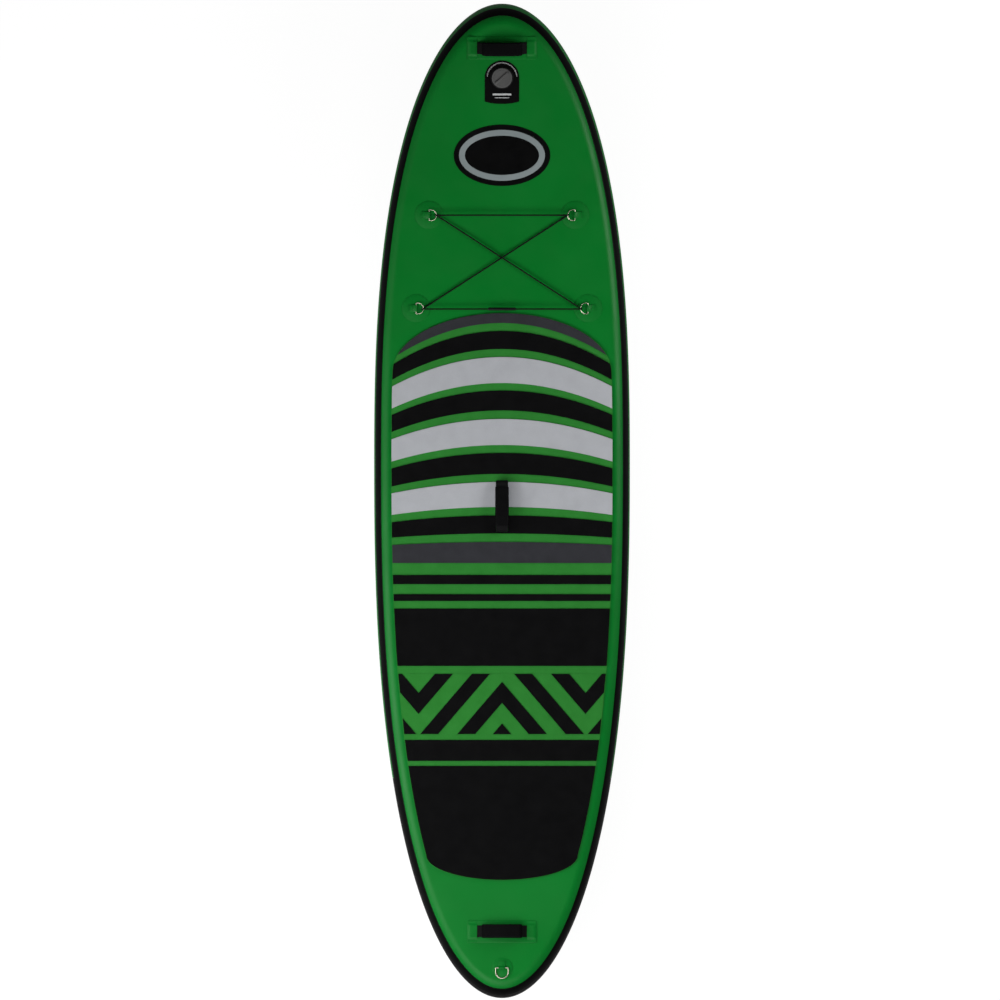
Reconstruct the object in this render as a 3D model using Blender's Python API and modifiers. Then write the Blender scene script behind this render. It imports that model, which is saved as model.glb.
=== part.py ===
# Inflatable stand-up paddle board: deck up, nose along +Y, fin tips at z = 0.
# Each sheet is drawn flat, as plan x and y and a height above the board's mid plane,
# and is then bent to the rocker. Rigid fittings stand on the bent surface.

import math

import bmesh
import bpy
from mathutils import Matrix, Vector

# Board, in metres
DRAWN_LENGTH = 3.200
DRAWN_WIDTH = 0.824
LENGTH = 3.200
WIDTH = 0.824
THICKNESS = 0.150
WIDEST_FROM_NOSE = 1.4835
NOSE_FULLNESS = 2.60
TAIL_FULLNESS = 2.474
RAIL_REACH = 0.052
NOSE_RISE = 0.160
NOSE_RISE_RUN = 1.500
TAIL_RISE = 0.018
TAIL_RISE_RUN = 0.300
NOSE_BENDS = 10
TAIL_BENDS = 2
OUTLINE_STEPS = 14
GAP = 0.0003

# Skins, rail bands and seam tapes
SKIN = 0.0015
RAIL_WALL = 0.0018
TAPE = 0.0010
TAPE_FROM_DEG = 25.0
TAPE_TO_DEG = 56.0
SEAM_DEG = 40.5
SEAM_GAP_DEG = 0.25
BLACK_RAIL_FROM_NOSE = 2.492

# Drop-stitch core
CORE_SHEET = 0.0008
CORE_INSET = 0.070
CORE_END = 0.150
CORE_HOLE = 0.040
YARN = 0.005
YARN_ROWS = 9
YARN_COLUMNS = 4

# Deck pad
PAD_INSET = 0.055
PAD_BASE = 0.0025
PAD_TOP = 0.0030
PAD_START = 0.993
PAD_NOSE_ARCH = 0.195
PAD_END = 2.821
PAD_TAIL_ARCH = 0.080
INLAY_INSET = 0.001
ARCH_RISE = 0.110
FILM = 0.0008

# Bands of the pad, from the nose: start and end on the middle line
CAP_END = 1.0257
BLACK_BANDS = ((1.0515, 1.1095), (1.2435, 1.3076), (1.4446, 1.5122), (1.6462, 1.7039))
PALE_BANDS = ((1.1353, 1.2190), (1.3350, 1.4188), (1.5380, 1.6185))
DARK_BAND = (1.7315, 1.7992)
BARS = ((1.8378, 1.8675), (1.8995, 1.9214), (2.3692, 2.4368))
PANEL = (1.9459, 2.1308)
CHEVRONS = (2.1559, 2.3508)
TAIL_PAD_START = 2.4529

# Chevrons: places across the board from the middle line, heights as shares of their zone
CHEVRON_BAR = 0.058
CHEVRON_SLOPE = 1.165
CHEVRON_ROOF = 0.865
CHEVRON_SLANT_X = 0.0387
CHEVRON_VEE_X = 0.269
CHEVRON_VEE_FOOT = 0.335
CHEVRON_CORNER_X = 0.276
CHEVRON_END_X = 0.400
CHEVRON_EDGE = 0.0005

# Badge at the nose
BADGE_FROM_NOSE = 0.4855
BADGE_LENGTH = 0.200
BADGE_WIDTH = 0.311
BADGE_SHEET = 0.0008

# Valve: its neck hangs in the board, its flange and cap stand on the plate
VALVE_BEHIND_HANDLE = 0.0954
VALVE_NECK = 0.025
VALVE_BORE = 0.021
VALVE_LIP = 0.004
VALVE_LIP_HEIGHT = 0.002
VALVE_FLANGE = 0.037
VALVE_FLANGE_HEIGHT = 0.0034
VALVE_CHAMFER = 0.001
VALVE_DEPTH = 0.024
VALVE_STEPS = 20
GASKET = 0.0015
NUT_FLANGE = 0.003
NUT_WALL = 0.005
NUT_HEIGHT = 0.011

# Valve cap
CAP_RADIUS = 0.0325
CAP_HEIGHT = 0.0055
CAP_WALL = 0.0037
CAP_CHAMFER = 0.0015
PLUG_CLEARANCE = 0.0006
PLUG_WALL = 0.0045
PLUG_DEPTH = 0.0075
SEAL_GROOVE = 0.0018
FINGER_BAR = (0.056, 0.008, 0.0045)
FINGER_BAR_TURN_DEG = 42.0

# Valve plate, with a straight foot and an arched head
PLATE_SHEET = 0.0010
PLATE_WIDTH = 0.111
PLATE_AHEAD = 0.055
PLATE_BEHIND = 0.086
PLATE_FOOT_BULGE = 0.008

# Valve stem and its spring, in the spider across the bore
STEM_RADIUS = 0.003
STEM_PRESS = 0.005
BUTTON_DROP = 0.002
BUTTON_HEIGHT = 0.0025
BUTTON_RIM = 0.003
POPPET_LAP = 0.002
POPPET_HEIGHT = 0.003
SPRING_WIRE = 0.0004
SPRING_TURNS = 3.5
SPRING_STEPS = 9
SPRING_PRESSED = 0.004
SPIDER_HEIGHT = 0.003
SPIDER_ARM = 0.003
SPIDER_HUB_WALL = 0.0035

# Handles
WEB_WIDTH = 0.038
WEB = 0.002
GRIP_SIDE_WALL = 0.003
GRIP_THICKNESS = 0.011
GRIP_LENGTH = 0.124
HANDLE_HEIGHT = 0.030
HANDLE_SHOULDER = 0.028
HANDLE_CROWN_DROP = 0.0035
HANDLE_PATCH_LENGTH = 0.225
HANDLE_PATCH_WIDTH = 0.075
HANDLE_COVER = 0.032
POCKET_END = 0.003
FOOT_END = 0.005
FOOT_RUN_OUT = 0.001
PATCH_SHEET = 0.0012
NOSE_HANDLE_FROM_NOSE = 0.1395
CENTRE_HANDLE_FROM_NOSE = 1.616
TAIL_HANDLE_FROM_NOSE = 2.986

# Centre handle, whose feet curl back under its arch
CENTRE_SPAN = 0.164
CENTRE_HEIGHT = 0.038
CENTRE_CROWN_DROP = 0.0055
CENTRE_CURL = 0.008
CENTRE_FOOT = 0.020
STRAP_ROOM = 0.003

# Bungee and its rings
RING_WIRE = 0.0015
RING_BAR = 0.038
RING_REACH = 0.028
RING_PATCH = 0.045
RING_TILT_DEG = 15.0
FRONT_RING = (0.2354, 0.6778)
REAR_RING = (0.2770, 0.9785)
CORD = 0.0023
CORD_CLEARANCE = 0.0014
CORD_SIDESTEP = 0.0012
CROSSING_GAP = 0.0006
CROSSING_RUN = 0.024
SLEEVE_LENGTH = 0.090
SLEEVE_WALL = 0.0022
SLEEVE_CHAMFER = 0.001

# Leash ring
LEASH_WIRE = 0.0020
LEASH_BAR = 0.045
LEASH_REACH = 0.038
LEASH_PATCH = 0.034
LEASH_FROM_NOSE = 3.1036

# Folded loop that carries a ring's bar
LOOP_HALF_WIDTH = 0.011
LOOP_SHEET = 0.0014
LOOP_TAIL = 0.024
LOOP_CLEARANCE = 0.0004
LOOP_SINK = 0.0002

# Centre fin: blade with a tab, a lug ahead of it, a cross pin behind and a screw through the lug
FIN_DEPTH = 0.140
FIN_SWEEP = 0.090
FIN_THICKNESS = 0.0094
FIN_ROOT_STEP = 0.004
FIN_TRAVEL = 0.025
TAB_LENGTH = 0.145
TAB_LUG = 0.022
PIN_RADIUS = 0.0022
PIN_SET_IN = 0.012
NUT_PLATE_LENGTH = 0.012
NUT_PLATE_HEIGHT = 0.003
SCREW_RADIUS = 0.0019
SCREW_PAST_NUT = 0.004
SCREW_CLEARANCE = 0.0004
KNOB_RADIUS = 0.0070
KNOB_HEIGHT = 0.0050

# Fin box: a flange on the hull with a slotted ridge
FIN_BOX_FROM_NOSE = 2.730
FIN_BOX_WIDTH = 0.034
FIN_BOX_HEIGHT = 0.024
FIN_BOX_END_WALL = 0.012
FIN_BOX_CHAMFER = 0.004
FIN_FLANGE_RIM = 0.015
FIN_FLANGE_WIDTH = 0.090
FIN_FLANGE_SHEET = 0.0025
SLOT_END_ROOM = 0.0145
SLOT_LENGTH = TAB_LENGTH + TAB_LUG + 2 * (FIN_TRAVEL + SLOT_END_ROOM)
SLOT_WIDTH = 0.0098
SLOT_DEPTH = 0.022
SLOT_CLEARANCE = 0.0003
GROOVE_WIDTH = 0.0140
GROOVE_HEIGHT = 0.0060
GROOVE_MIDDLE = 0.0110

# Side fins
SIDE_FIN_X = 0.185
SIDE_FIN_FROM_NOSE = 2.600
SIDE_FIN_DEPTH = 0.085
SIDE_FIN_BASE = 0.110
SIDE_FIN_SWEEP = 0.055
SIDE_FIN_THICKNESS = 0.008
SIDE_FLANGE = (0.046, 0.138, 0.0025)
SIDE_FLANGE_BACK = 0.006

# Outline of a fin: its section is a leaf, given as distance behind the front as a share of the
# length, with the half width as a share of the greatest; the tip is rounded off below FIN_TIP_FROM
FIN_LEAF = ((0.0, 0.25), (0.18, 0.85), (0.40, 1.0), (0.75, 0.6), (1.0, 0.12))
FIN_TRAILING_SWEEP = 0.62
FIN_TAPER = 0.6
FIN_TIP_FROM = 0.75
FIN_TIP_ROUND = 0.27
FIN_TIP_CHORD = 0.16
FIN_TIP_CENTRE = 0.62
FIN_SECTIONS = 6

HALF = THICKNESS / 2
LENGTHWISE = LENGTH / DRAWN_LENGTH
CROSSWISE = WIDTH / DRAWN_WIDTH
NOSE_RISE_FROM = LENGTH / 2 - NOSE_RISE_RUN * LENGTHWISE
TAIL_RISE_FROM = TAIL_RISE_RUN * LENGTHWISE - LENGTH / 2
PAD_FLOOR = HALF + GAP
PAD_MIDDLE = PAD_FLOOR + PAD_BASE
INLAY_FLOOR = PAD_MIDDLE + GAP
PAD_HEIGHT = INLAY_FLOOR + PAD_TOP

# Plain colours, as linear red, green and blue, with roughness and metallic value
DECK_GREEN = ((0.006, 0.108, 0.014), 0.35, 0.0)
FOAM_GREEN = ((0.023, 0.195, 0.026), 0.85, 0.0)
FOAM_BLACK = ((0.005, 0.005, 0.005), 0.9, 0.0)
FOAM_PALE = ((0.35, 0.37, 0.40), 0.85, 0.0)
FOAM_DARK = ((0.027, 0.029, 0.034), 0.85, 0.0)
GLOSS_BLACK = ((0.006, 0.006, 0.007), 0.25, 0.0)
WEBBING = ((0.008, 0.008, 0.009), 0.8, 0.0)
YARN_WHITE = ((0.7, 0.7, 0.68), 0.8, 0.0)
CAP_GREY = ((0.07, 0.07, 0.07), 0.45, 0.0)
STEEL = ((0.6, 0.6, 0.6), 0.25, 1.0)
BRASS = ((0.7, 0.5, 0.2), 0.3, 1.0)


# Scene, materials and objects


def clear_scene():
    for obj in list(bpy.data.objects):
        bpy.data.objects.remove(obj)
    parts = bpy.data.collections.new("stand_up_paddle_board")
    cutters = bpy.data.collections.new("cutters")
    bpy.context.scene.collection.children.link(parts)
    bpy.context.scene.collection.children.link(cutters)
    return parts, cutters


PARTS, CUTTERS = clear_scene()


def dress(obj, finish):
    colour, roughness, metallic = finish
    material = bpy.data.materials.new(obj.name)
    material.use_nodes = True
    shader = material.node_tree.nodes["Principled BSDF"]
    shader.inputs["Base Color"].default_value = (*colour, 1)
    shader.inputs["Roughness"].default_value = roughness
    shader.inputs["Metallic"].default_value = metallic
    material.diffuse_color = (*colour, 1)
    obj.data.materials.clear()
    obj.data.materials.append(material)


def add_part(name, data, finish):
    obj = bpy.data.objects.new(name, data)
    PARTS.objects.link(obj)
    dress(obj, finish)
    return obj


def cutter(obj):
    for collection in list(obj.users_collection):
        collection.objects.unlink(obj)
    CUTTERS.objects.link(obj)
    obj.hide_render = True
    obj.display_type = "WIRE"
    return obj


def baked(obj):
    # The object's evaluated shape, as a plain welded mesh in world space
    bpy.context.view_layer.update()
    graph = bpy.context.evaluated_depsgraph_get()
    mesh = bpy.data.meshes.new_from_object(obj.evaluated_get(graph), depsgraph=graph)
    mesh.transform(obj.matrix_world)
    shape = bmesh.new()
    shape.from_mesh(mesh)
    bmesh.ops.remove_doubles(shape, verts=shape.verts, dist=0.00002)
    bmesh.ops.recalc_face_normals(shape, faces=shape.faces)
    shape.to_mesh(mesh)
    shape.free()
    return mesh


def replaced(obj, finish):
    # The same part with its modifiers applied
    name = obj.name
    mesh = baked(obj)
    bpy.data.objects.remove(obj)
    mesh.name = name
    return add_part(name, mesh, finish)


def boolean(obj, other, operation="DIFFERENCE"):
    modifier = obj.modifiers.new(operation.title(), "BOOLEAN")
    modifier.operation = operation
    modifier.object = other
    modifier.solver = "EXACT"
    return obj


def smooth(obj, angle=35):
    obj.data.shade_smooth()
    obj.data.set_sharp_from_angle(angle=math.radians(angle))
    return obj


# Simple shapes


def box(name, size, centre, finish=GLOSS_BLACK):
    shape = bmesh.new()
    bmesh.ops.create_cube(shape, size=1)
    bmesh.ops.scale(shape, vec=Vector(size), verts=shape.verts)
    bmesh.ops.translate(shape, vec=Vector(centre), verts=shape.verts)
    mesh = bpy.data.meshes.new(name)
    shape.to_mesh(mesh)
    shape.free()
    return add_part(name, mesh, finish)


def rod(name, radius, length, centre, axis, finish=STEEL, sides=12):
    shape = bmesh.new()
    bmesh.ops.create_cone(
        shape, cap_ends=True, segments=sides, radius1=radius, radius2=radius, depth=length
    )
    turn = Vector((0, 0, 1)).rotation_difference(Vector(axis)).to_matrix().to_4x4()
    bmesh.ops.transform(shape, matrix=Matrix.Translation(centre) @ turn, verts=shape.verts)
    mesh = bpy.data.meshes.new(name)
    shape.to_mesh(mesh)
    shape.free()
    return add_part(name, mesh, finish)


def turned(name, profile, finish, steps=VALVE_STEPS):
    # A closed ring of (radius, height) points, from the outer top down, turned about Z
    mesh = bpy.data.meshes.new(name)
    corners = [(radius, 0, height) for radius, height in profile]
    edges = [(i, (i + 1) % len(profile)) for i in range(len(profile))]
    if profile[0][0] == 0 and profile[-1][0] == 0:
        edges.pop()
    mesh.from_pydata(corners, edges, [])
    obj = add_part(name, mesh, finish)
    screw = obj.modifiers.new("Screw", "SCREW")
    screw.steps = steps
    screw.render_steps = steps
    screw.use_merge_vertices = True
    screw.merge_threshold = 0.00001
    screw.use_smooth_shade = False
    part = replaced(obj, finish)
    return smooth(part)


def plate(name, outlines, low, high, finish):
    # A flat sheet: its first outline is the edge, the others are holes
    curve = bpy.data.curves.new(name, "CURVE")
    curve.dimensions = "2D"
    curve.fill_mode = "BOTH"
    curve.extrude = (high - low) / 2
    for outline in outlines:
        spline = curve.splines.new("POLY")
        spline.points.add(len(outline) - 1)
        for point, (x, y) in zip(spline.points, outline):
            point.co = (x, y, 0, 1)
        spline.use_cyclic_u = True
    obj = add_part(name, curve, finish)
    obj.location.z = (low + high) / 2
    return replaced(obj, finish)


def ellipse(centre_x, centre_y, half_x, half_y, steps):
    return [
        (
            centre_x + half_x * math.cos(2 * math.pi * i / steps),
            centre_y + half_y * math.sin(2 * math.pi * i / steps),
        )
        for i in range(steps)
    ]


# Rocker: heights above the mid plane are laid off square to it


def rocker(y):
    if y > NOSE_RISE_FROM:
        run = LENGTH / 2 - NOSE_RISE_FROM
        return NOSE_RISE * ((y - NOSE_RISE_FROM) / run) ** 2
    if y < TAIL_RISE_FROM:
        run = LENGTH / 2 + TAIL_RISE_FROM
        return TAIL_RISE * ((y - TAIL_RISE_FROM) / run) ** 2
    return 0.0


def rocker_slope(y):
    if y > NOSE_RISE_FROM:
        return 2 * NOSE_RISE * (y - NOSE_RISE_FROM) / (LENGTH / 2 - NOSE_RISE_FROM) ** 2
    if y < TAIL_RISE_FROM:
        return 2 * TAIL_RISE * (y - TAIL_RISE_FROM) / (LENGTH / 2 + TAIL_RISE_FROM) ** 2
    return 0.0


def bend_lines():
    # Where every sheet may crease, so that stacked sheets stay parallel
    nose = LENGTH / 2 - NOSE_RISE_FROM
    tail = LENGTH / 2 + TAIL_RISE_FROM
    lines = [TAIL_RISE_FROM - tail * i / TAIL_BENDS for i in range(TAIL_BENDS, -1, -1)]
    lines += [NOSE_RISE_FROM + nose * i / NOSE_BENDS for i in range(NOSE_BENDS + 1)]
    return lines


BEND_LINES = bend_lines()


def bent_pair(y):
    # The mid plane's point and its normal at plan y, straight between two bend lines
    span = 0
    while span < len(BEND_LINES) - 2 and y > BEND_LINES[span + 1]:
        span += 1
    start = BEND_LINES[span]
    end = BEND_LINES[span + 1]
    share = (y - start) / (end - start)
    pairs = []
    for line in (start, end):
        angle = math.atan(rocker_slope(line))
        pairs.append(((line, rocker(line)), (-math.sin(angle), math.cos(angle))))
    middle = [a + (b - a) * share for a, b in zip(pairs[0][0], pairs[1][0])]
    normal = [a + (b - a) * share for a, b in zip(pairs[0][1], pairs[1][1])]
    return middle, normal


def bent_point(x, y, height, lift=0.0):
    middle, normal = bent_pair(y)
    return Vector((x, middle[0] + normal[0] * height, lift + middle[1] + normal[1] * height))


def mid_plane_height():
    # Height over the lowest point, the tip of the centre fin
    belly_to_tip = GAP + FIN_FLANGE_SHEET + FIN_BOX_HEIGHT + GAP + FIN_DEPTH
    return HALF + belly_to_tip


LIFT = mid_plane_height()


def to_row(x, y, height):
    return bent_point(x, y, height, LIFT)


def seat(x, y, height, yaw=0.0):
    # A frame that stands on the bent surface: X across, Y towards the nose, Z square to it
    ahead = to_row(x, y + 0.0005, height) - to_row(x, y - 0.0005, height)
    tilt = math.atan2(ahead.z, ahead.y)
    turn = Matrix.Rotation(tilt, 4, "X") @ Matrix.Rotation(yaw, 4, "Z")
    return Matrix.Translation(to_row(x, y, height)) @ turn


def bend(obj, finish):
    # Creases the flat part at the bend lines and lays it along the rocker
    mesh = baked(obj)
    name = obj.name
    bpy.data.objects.remove(obj)
    shape = bmesh.new()
    shape.from_mesh(mesh)
    lows = min(vertex.co.y for vertex in shape.verts)
    highs = max(vertex.co.y for vertex in shape.verts)
    for line in BEND_LINES[1:-1]:
        if lows + 0.0005 < line < highs - 0.0005:
            everything = shape.verts[:] + shape.edges[:] + shape.faces[:]
            bmesh.ops.bisect_plane(
                shape, geom=everything, dist=0.00001, plane_co=(0, line, 0), plane_no=(0, 1, 0)
            )
    bmesh.ops.triangulate(shape, faces=[face for face in shape.faces if len(face.verts) > 4])
    for vertex in shape.verts:
        vertex.co = to_row(*vertex.co)
    shape.to_mesh(mesh)
    shape.free()
    mesh.name = name
    return smooth(add_part(name, mesh, finish), 25)


def stand(obj, frame):
    obj.matrix_world = frame @ obj.matrix_world
    return obj


# Outline of the board in plan

WIDEST_Y = LENGTH / 2 - WIDEST_FROM_NOSE * LENGTHWISE


def plan_y(distance, height=0.0):
    # Plan y of what lies this far from the nose, seen square on at that height
    wanted = LENGTH / 2 - distance * LENGTHWISE
    y = wanted
    for _ in range(6):
        y += wanted - bent_point(0, y, height).y
    return y


def valve_y():
    # A fixed run behind the nose handle, seen square on
    return plan_y(NOSE_HANDLE_FROM_NOSE + VALVE_BEHIND_HANDLE / LENGTHWISE, HALF)


def rim(angle):
    # Right-hand rim point and its inward normal: 0 at the nose, 180 at the tail, in degrees
    turn = math.radians(90 - angle)
    ends = (LENGTH / 2 - WIDEST_Y, NOSE_FULLNESS) if turn >= 0 else (LENGTH / 2 + WIDEST_Y, TAIL_FULLNESS)
    reach, fullness = ends
    side = 1 if turn >= 0 else -1
    along = abs(math.sin(turn)) ** (2 / fullness)
    point = Vector((WIDTH / 2 * math.cos(turn), WIDEST_Y + side * reach * along))
    if abs(turn) < 0.0001:
        return point, Vector((-1, 0))
    steep = reach * (2 / fullness) * abs(math.sin(turn)) ** (2 / fullness - 1) * math.cos(turn)
    run = -WIDTH / 2 * math.sin(turn)
    tangent = Vector((run, steep))
    tangent.normalize()
    return point, Vector((-tangent.y, tangent.x))


def rim_angle(y):
    # The rim angle at plan y
    if y >= WIDEST_Y:
        share = (y - WIDEST_Y) / (LENGTH / 2 - WIDEST_Y)
        return 90 - math.degrees(math.asin(share ** (NOSE_FULLNESS / 2)))
    share = (WIDEST_Y - y) / (LENGTH / 2 + WIDEST_Y)
    return 90 + math.degrees(math.asin(share ** (TAIL_FULLNESS / 2)))


def inset_half_width(y, inset):
    # Half width at plan y of the outline moved inwards
    low, high = 0.0, 180.0
    for _ in range(40):
        middle = (low + high) / 2
        point, inward = rim(middle)
        if point.y + inward.y * inset > y:
            low = middle
        else:
            high = middle
    point, inward = rim((low + high) / 2)
    return point.x + inward.x * inset


BLACK_RAIL_ANGLE = rim_angle(plan_y(BLACK_RAIL_FROM_NOSE))


def rim_angles(start, end):
    # Even steps from nose to tail, with the ends and the rail's change of colour among them
    step = 90 / OUTLINE_STEPS
    even = [step * i for i in range(2 * OUTLINE_STEPS + 1)]
    inner = [a for a in even if start + step * 0.3 < a < end - step * 0.3]
    keep = [a for a in inner if abs(a - BLACK_RAIL_ANGLE) > step * 0.3]
    if start < BLACK_RAIL_ANGLE < end:
        keep.append(BLACK_RAIL_ANGLE)
    return [start, *sorted(keep), end]


def section_point(degrees, outward=0.0):
    # Distance in from the rim and height, on the rail's elliptical side
    angle = math.radians(degrees)
    normal = Vector((math.cos(angle) / RAIL_REACH, math.sin(angle) / HALF)).normalized()
    inward = RAIL_REACH * (1 - math.cos(angle)) - normal.x * outward
    return inward, HALF * math.sin(angle) + normal.y * outward


def ring_path(start=0.0, end=180.0):
    # Rim points and normals, right side then left, closed when it runs from 0 to 180
    right = [rim(angle) for angle in rim_angles(start, end)]
    if start == 0 and end == 180:
        left = right[-2:0:-1]
    elif start == 0:
        left = right[:0:-1]
        mirrored = [(Vector((-p.x, p.y)), Vector((-n.x, n.y))) for p, n in left]
        return mirrored + right
    else:
        left = right[-2::-1]
    mirrored = [(Vector((-p.x, p.y)), Vector((-n.x, n.y))) for p, n in left]
    return right + mirrored


def swept_band(name, profile, finish, start=0.0, end=180.0):
    # A closed profile of (inward, height) points carried round the rim
    path = ring_path(start, end)
    closed = start == 0 and end == 180
    shape = bmesh.new()
    rings = []
    for point, inward in path:
        ring = []
        for depth, height in profile:
            place = point + inward * depth
            ring.append(shape.verts.new((place.x, place.y, height)))
        rings.append(ring)
    pairs = list(zip(rings, rings[1:]))
    if closed:
        pairs.append((rings[-1], rings[0]))
    else:
        shape.faces.new(rings[0])
        shape.faces.new(rings[-1])
    count = len(profile)
    for first, second in pairs:
        for i in range(count):
            after = (i + 1) % count
            shape.faces.new((first[i], first[after], second[after], second[i]))
    return finished_shell(name, shape, finish)


def finished_shell(name, shape, finish):
    bmesh.ops.recalc_face_normals(shape, faces=shape.faces)
    mesh = bpy.data.meshes.new(name)
    shape.to_mesh(mesh)
    shape.free()
    return add_part(name, mesh, finish)


def skin(name, side, finish):
    # The flat panel with its rounded shoulder: side is 1 for the deck and -1 for the hull
    angles = [SEAM_DEG + SEAM_GAP_DEG, TAPE_TO_DEG, 73.0, 90.0]
    path = ring_path()
    shape = bmesh.new()

    def loop(degrees, outward):
        depth, height = section_point(degrees, outward)
        verts = []
        for point, inward in path:
            place = point + inward * depth
            verts.append(shape.verts.new((place.x, place.y, side * height)))
        return verts

    outer = [loop(degrees, 0.0) for degrees in angles]
    inner = [loop(degrees, -SKIN) for degrees in angles]
    count = len(path)
    rows = outer[::-1] + inner
    for first, second in zip(rows, rows[1:]):
        for i in range(count):
            after = (i + 1) % count
            shape.faces.new((first[i], first[after], second[after], second[i]))
    for flat in (outer[-1], inner[-1]):
        for i in range(count // 2):
            corners = [flat[i], flat[i + 1], flat[count - i - 1], flat[(count - i) % count]]
            distinct = list(dict.fromkeys(corners))
            shape.faces.new(distinct)
    return finished_shell(name, shape, finish)


# Board


def make_skins():
    deck = skin("deck_skin", 1, DECK_GREEN)
    hole = rod(
        "valve_hole",
        VALVE_NECK + 2 * GAP,
        0.02,
        (0, valve_y(), HALF),
        (0, 0, 1),
        sides=VALVE_STEPS,
    )
    boolean(deck, cutter(hole))
    bend(deck, DECK_GREEN)
    bend(skin("hull_skin", -1, DECK_GREEN), DECK_GREEN)


def make_rails():
    limit = SEAM_DEG - SEAM_GAP_DEG
    outer_angles = [-limit, -TAPE_FROM_DEG, -12.5, 0, 12.5, TAPE_FROM_DEG, limit]
    inner_angles = [limit, TAPE_FROM_DEG, 0, -TAPE_FROM_DEG, -limit]
    profile = [section_point(a) for a in outer_angles]
    profile += [section_point(a, -RAIL_WALL) for a in inner_angles]
    split = 0.04
    green = swept_band("rail_band_green", profile, DECK_GREEN, 0.0, BLACK_RAIL_ANGLE - split)
    bend(green, DECK_GREEN)
    black = swept_band("rail_band_black", profile, GLOSS_BLACK, BLACK_RAIL_ANGLE + split, 180.0)
    bend(black, GLOSS_BLACK)


def make_seam_tapes():
    angles = [TAPE_FROM_DEG, SEAM_DEG, TAPE_TO_DEG]
    for name, side in (("deck_seam_tape", 1), ("hull_seam_tape", -1)):
        outer = [section_point(side * a, GAP + TAPE) for a in angles]
        inner = [section_point(side * a, GAP) for a in reversed(angles)]
        bend(swept_band(name, outer + inner, GLOSS_BLACK), GLOSS_BLACK)


def make_core():
    # Two woven sheets held apart by rows of yarn, each post standing for a bundle of yarns
    ends = (-LENGTH / 2 + CORE_END, LENGTH / 2 - CORE_END)
    levels = [ends[0] + (ends[1] - ends[0]) * i / 10 for i in range(11)]
    right = [(inset_half_width(y, CORE_INSET), y) for y in levels]
    outline = right + [(-x, y) for x, y in reversed(right)]
    top = HALF - SKIN - GAP
    sheets = plate("drop_stitch_core", [outline], top - CORE_SHEET, top, YARN_WHITE)
    lower = plate("core_lower_sheet", [outline], -top, CORE_SHEET - top, YARN_WHITE)
    posts = bmesh.new()
    for row in range(YARN_ROWS):
        y = ends[0] + (ends[1] - ends[0]) * (row + 0.5) / YARN_ROWS
        for column in range(YARN_COLUMNS):
            share = -1 + 2 * (column + 0.5) / YARN_COLUMNS
            x = share * inset_half_width(y, CORE_INSET)
            made = bmesh.ops.create_cube(posts, size=1)["verts"]
            tall = 2 * top - CORE_SHEET
            bmesh.ops.scale(posts, vec=(YARN, YARN, tall), verts=made)
            bmesh.ops.translate(posts, vec=(x, y, 0), verts=made)
    yarns = finished_shell("core_yarns", posts, YARN_WHITE)
    boolean(sheets, cutter(lower), "UNION")
    boolean(sheets, cutter(yarns), "UNION")
    hole = rod(
        "core_valve_hole", CORE_HOLE, THICKNESS / 2,
        (0, valve_y(), HALF), (0, 0, 1), sides=12,
    )
    boolean(sheets, cutter(hole))
    bend(sheets, YARN_WHITE)


# Deck pad


def pad_rim(inset):
    # The pad's outline, right side from the nose arch to the tail arch, then mirrored
    start = plan_y(PAD_START + inset, HALF)
    end = plan_y(PAD_END - inset, HALF)
    shoulder = start - PAD_NOSE_ARCH * LENGTHWISE
    hip = end + PAD_TAIL_ARCH * LENGTHWISE
    right = []
    for i in range(9):
        turn = math.radians(90 - 90 * i / 8)
        half = inset_half_width(shoulder, PAD_INSET + inset)
        right.append((half * math.cos(turn), shoulder + (start - shoulder) * math.sin(turn)))
    for i in range(1, 14):
        y = shoulder + (hip - shoulder) * i / 14
        right.append((inset_half_width(y, PAD_INSET + inset), y))
    for i in range(7):
        turn = math.radians(90 * i / 6)
        half = inset_half_width(hip, PAD_INSET + inset)
        right.append((half * math.cos(turn), hip + (end - hip) * math.sin(turn)))
    return right


def half_width_on(rim_points, y):
    # Half width of the pad's outline at plan y
    for (x1, y1), (x2, y2) in zip(rim_points, rim_points[1:]):
        if y2 <= y <= y1 and y1 > y2:
            return x1 + (x2 - x1) * (y1 - y) / (y1 - y2)
    return 0.0


def pad_outline(inset):
    right = pad_rim(inset)
    left = [(-x, y) for x, y in reversed(right) if x > 0.0001]
    return right + left


def arch_sag(distance):
    # How far an arched edge falls back at the pad's side: full at the nose, none at the bars
    fall = (DARK_BAND[1] - distance) / (DARK_BAND[1] - CAP_END)
    return ARCH_RISE * max(0.0, min(1.0, fall))


def arched_edge(distance, steps=12):
    # Points from the middle to the right where the edge meets the pad's outline
    rim_points = pad_rim(INLAY_INSET)
    middle = plan_y(distance, HALF)
    full = inset_half_width(middle, PAD_INSET + INLAY_INSET)
    sag = arch_sag(distance) * LENGTHWISE

    def level(x):
        return middle - sag * (x / full) ** 2

    low, high = 0.0, full * 1.2
    for _ in range(30):
        x = (low + high) / 2
        if x < half_width_on(rim_points, level(x)):
            low = x
        else:
            high = x
    edge = (low + high) / 2
    if sag < 0.001:
        steps = 1
    return [(edge * i / steps, level(edge * i / steps)) for i in range(steps + 1)]


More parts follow.
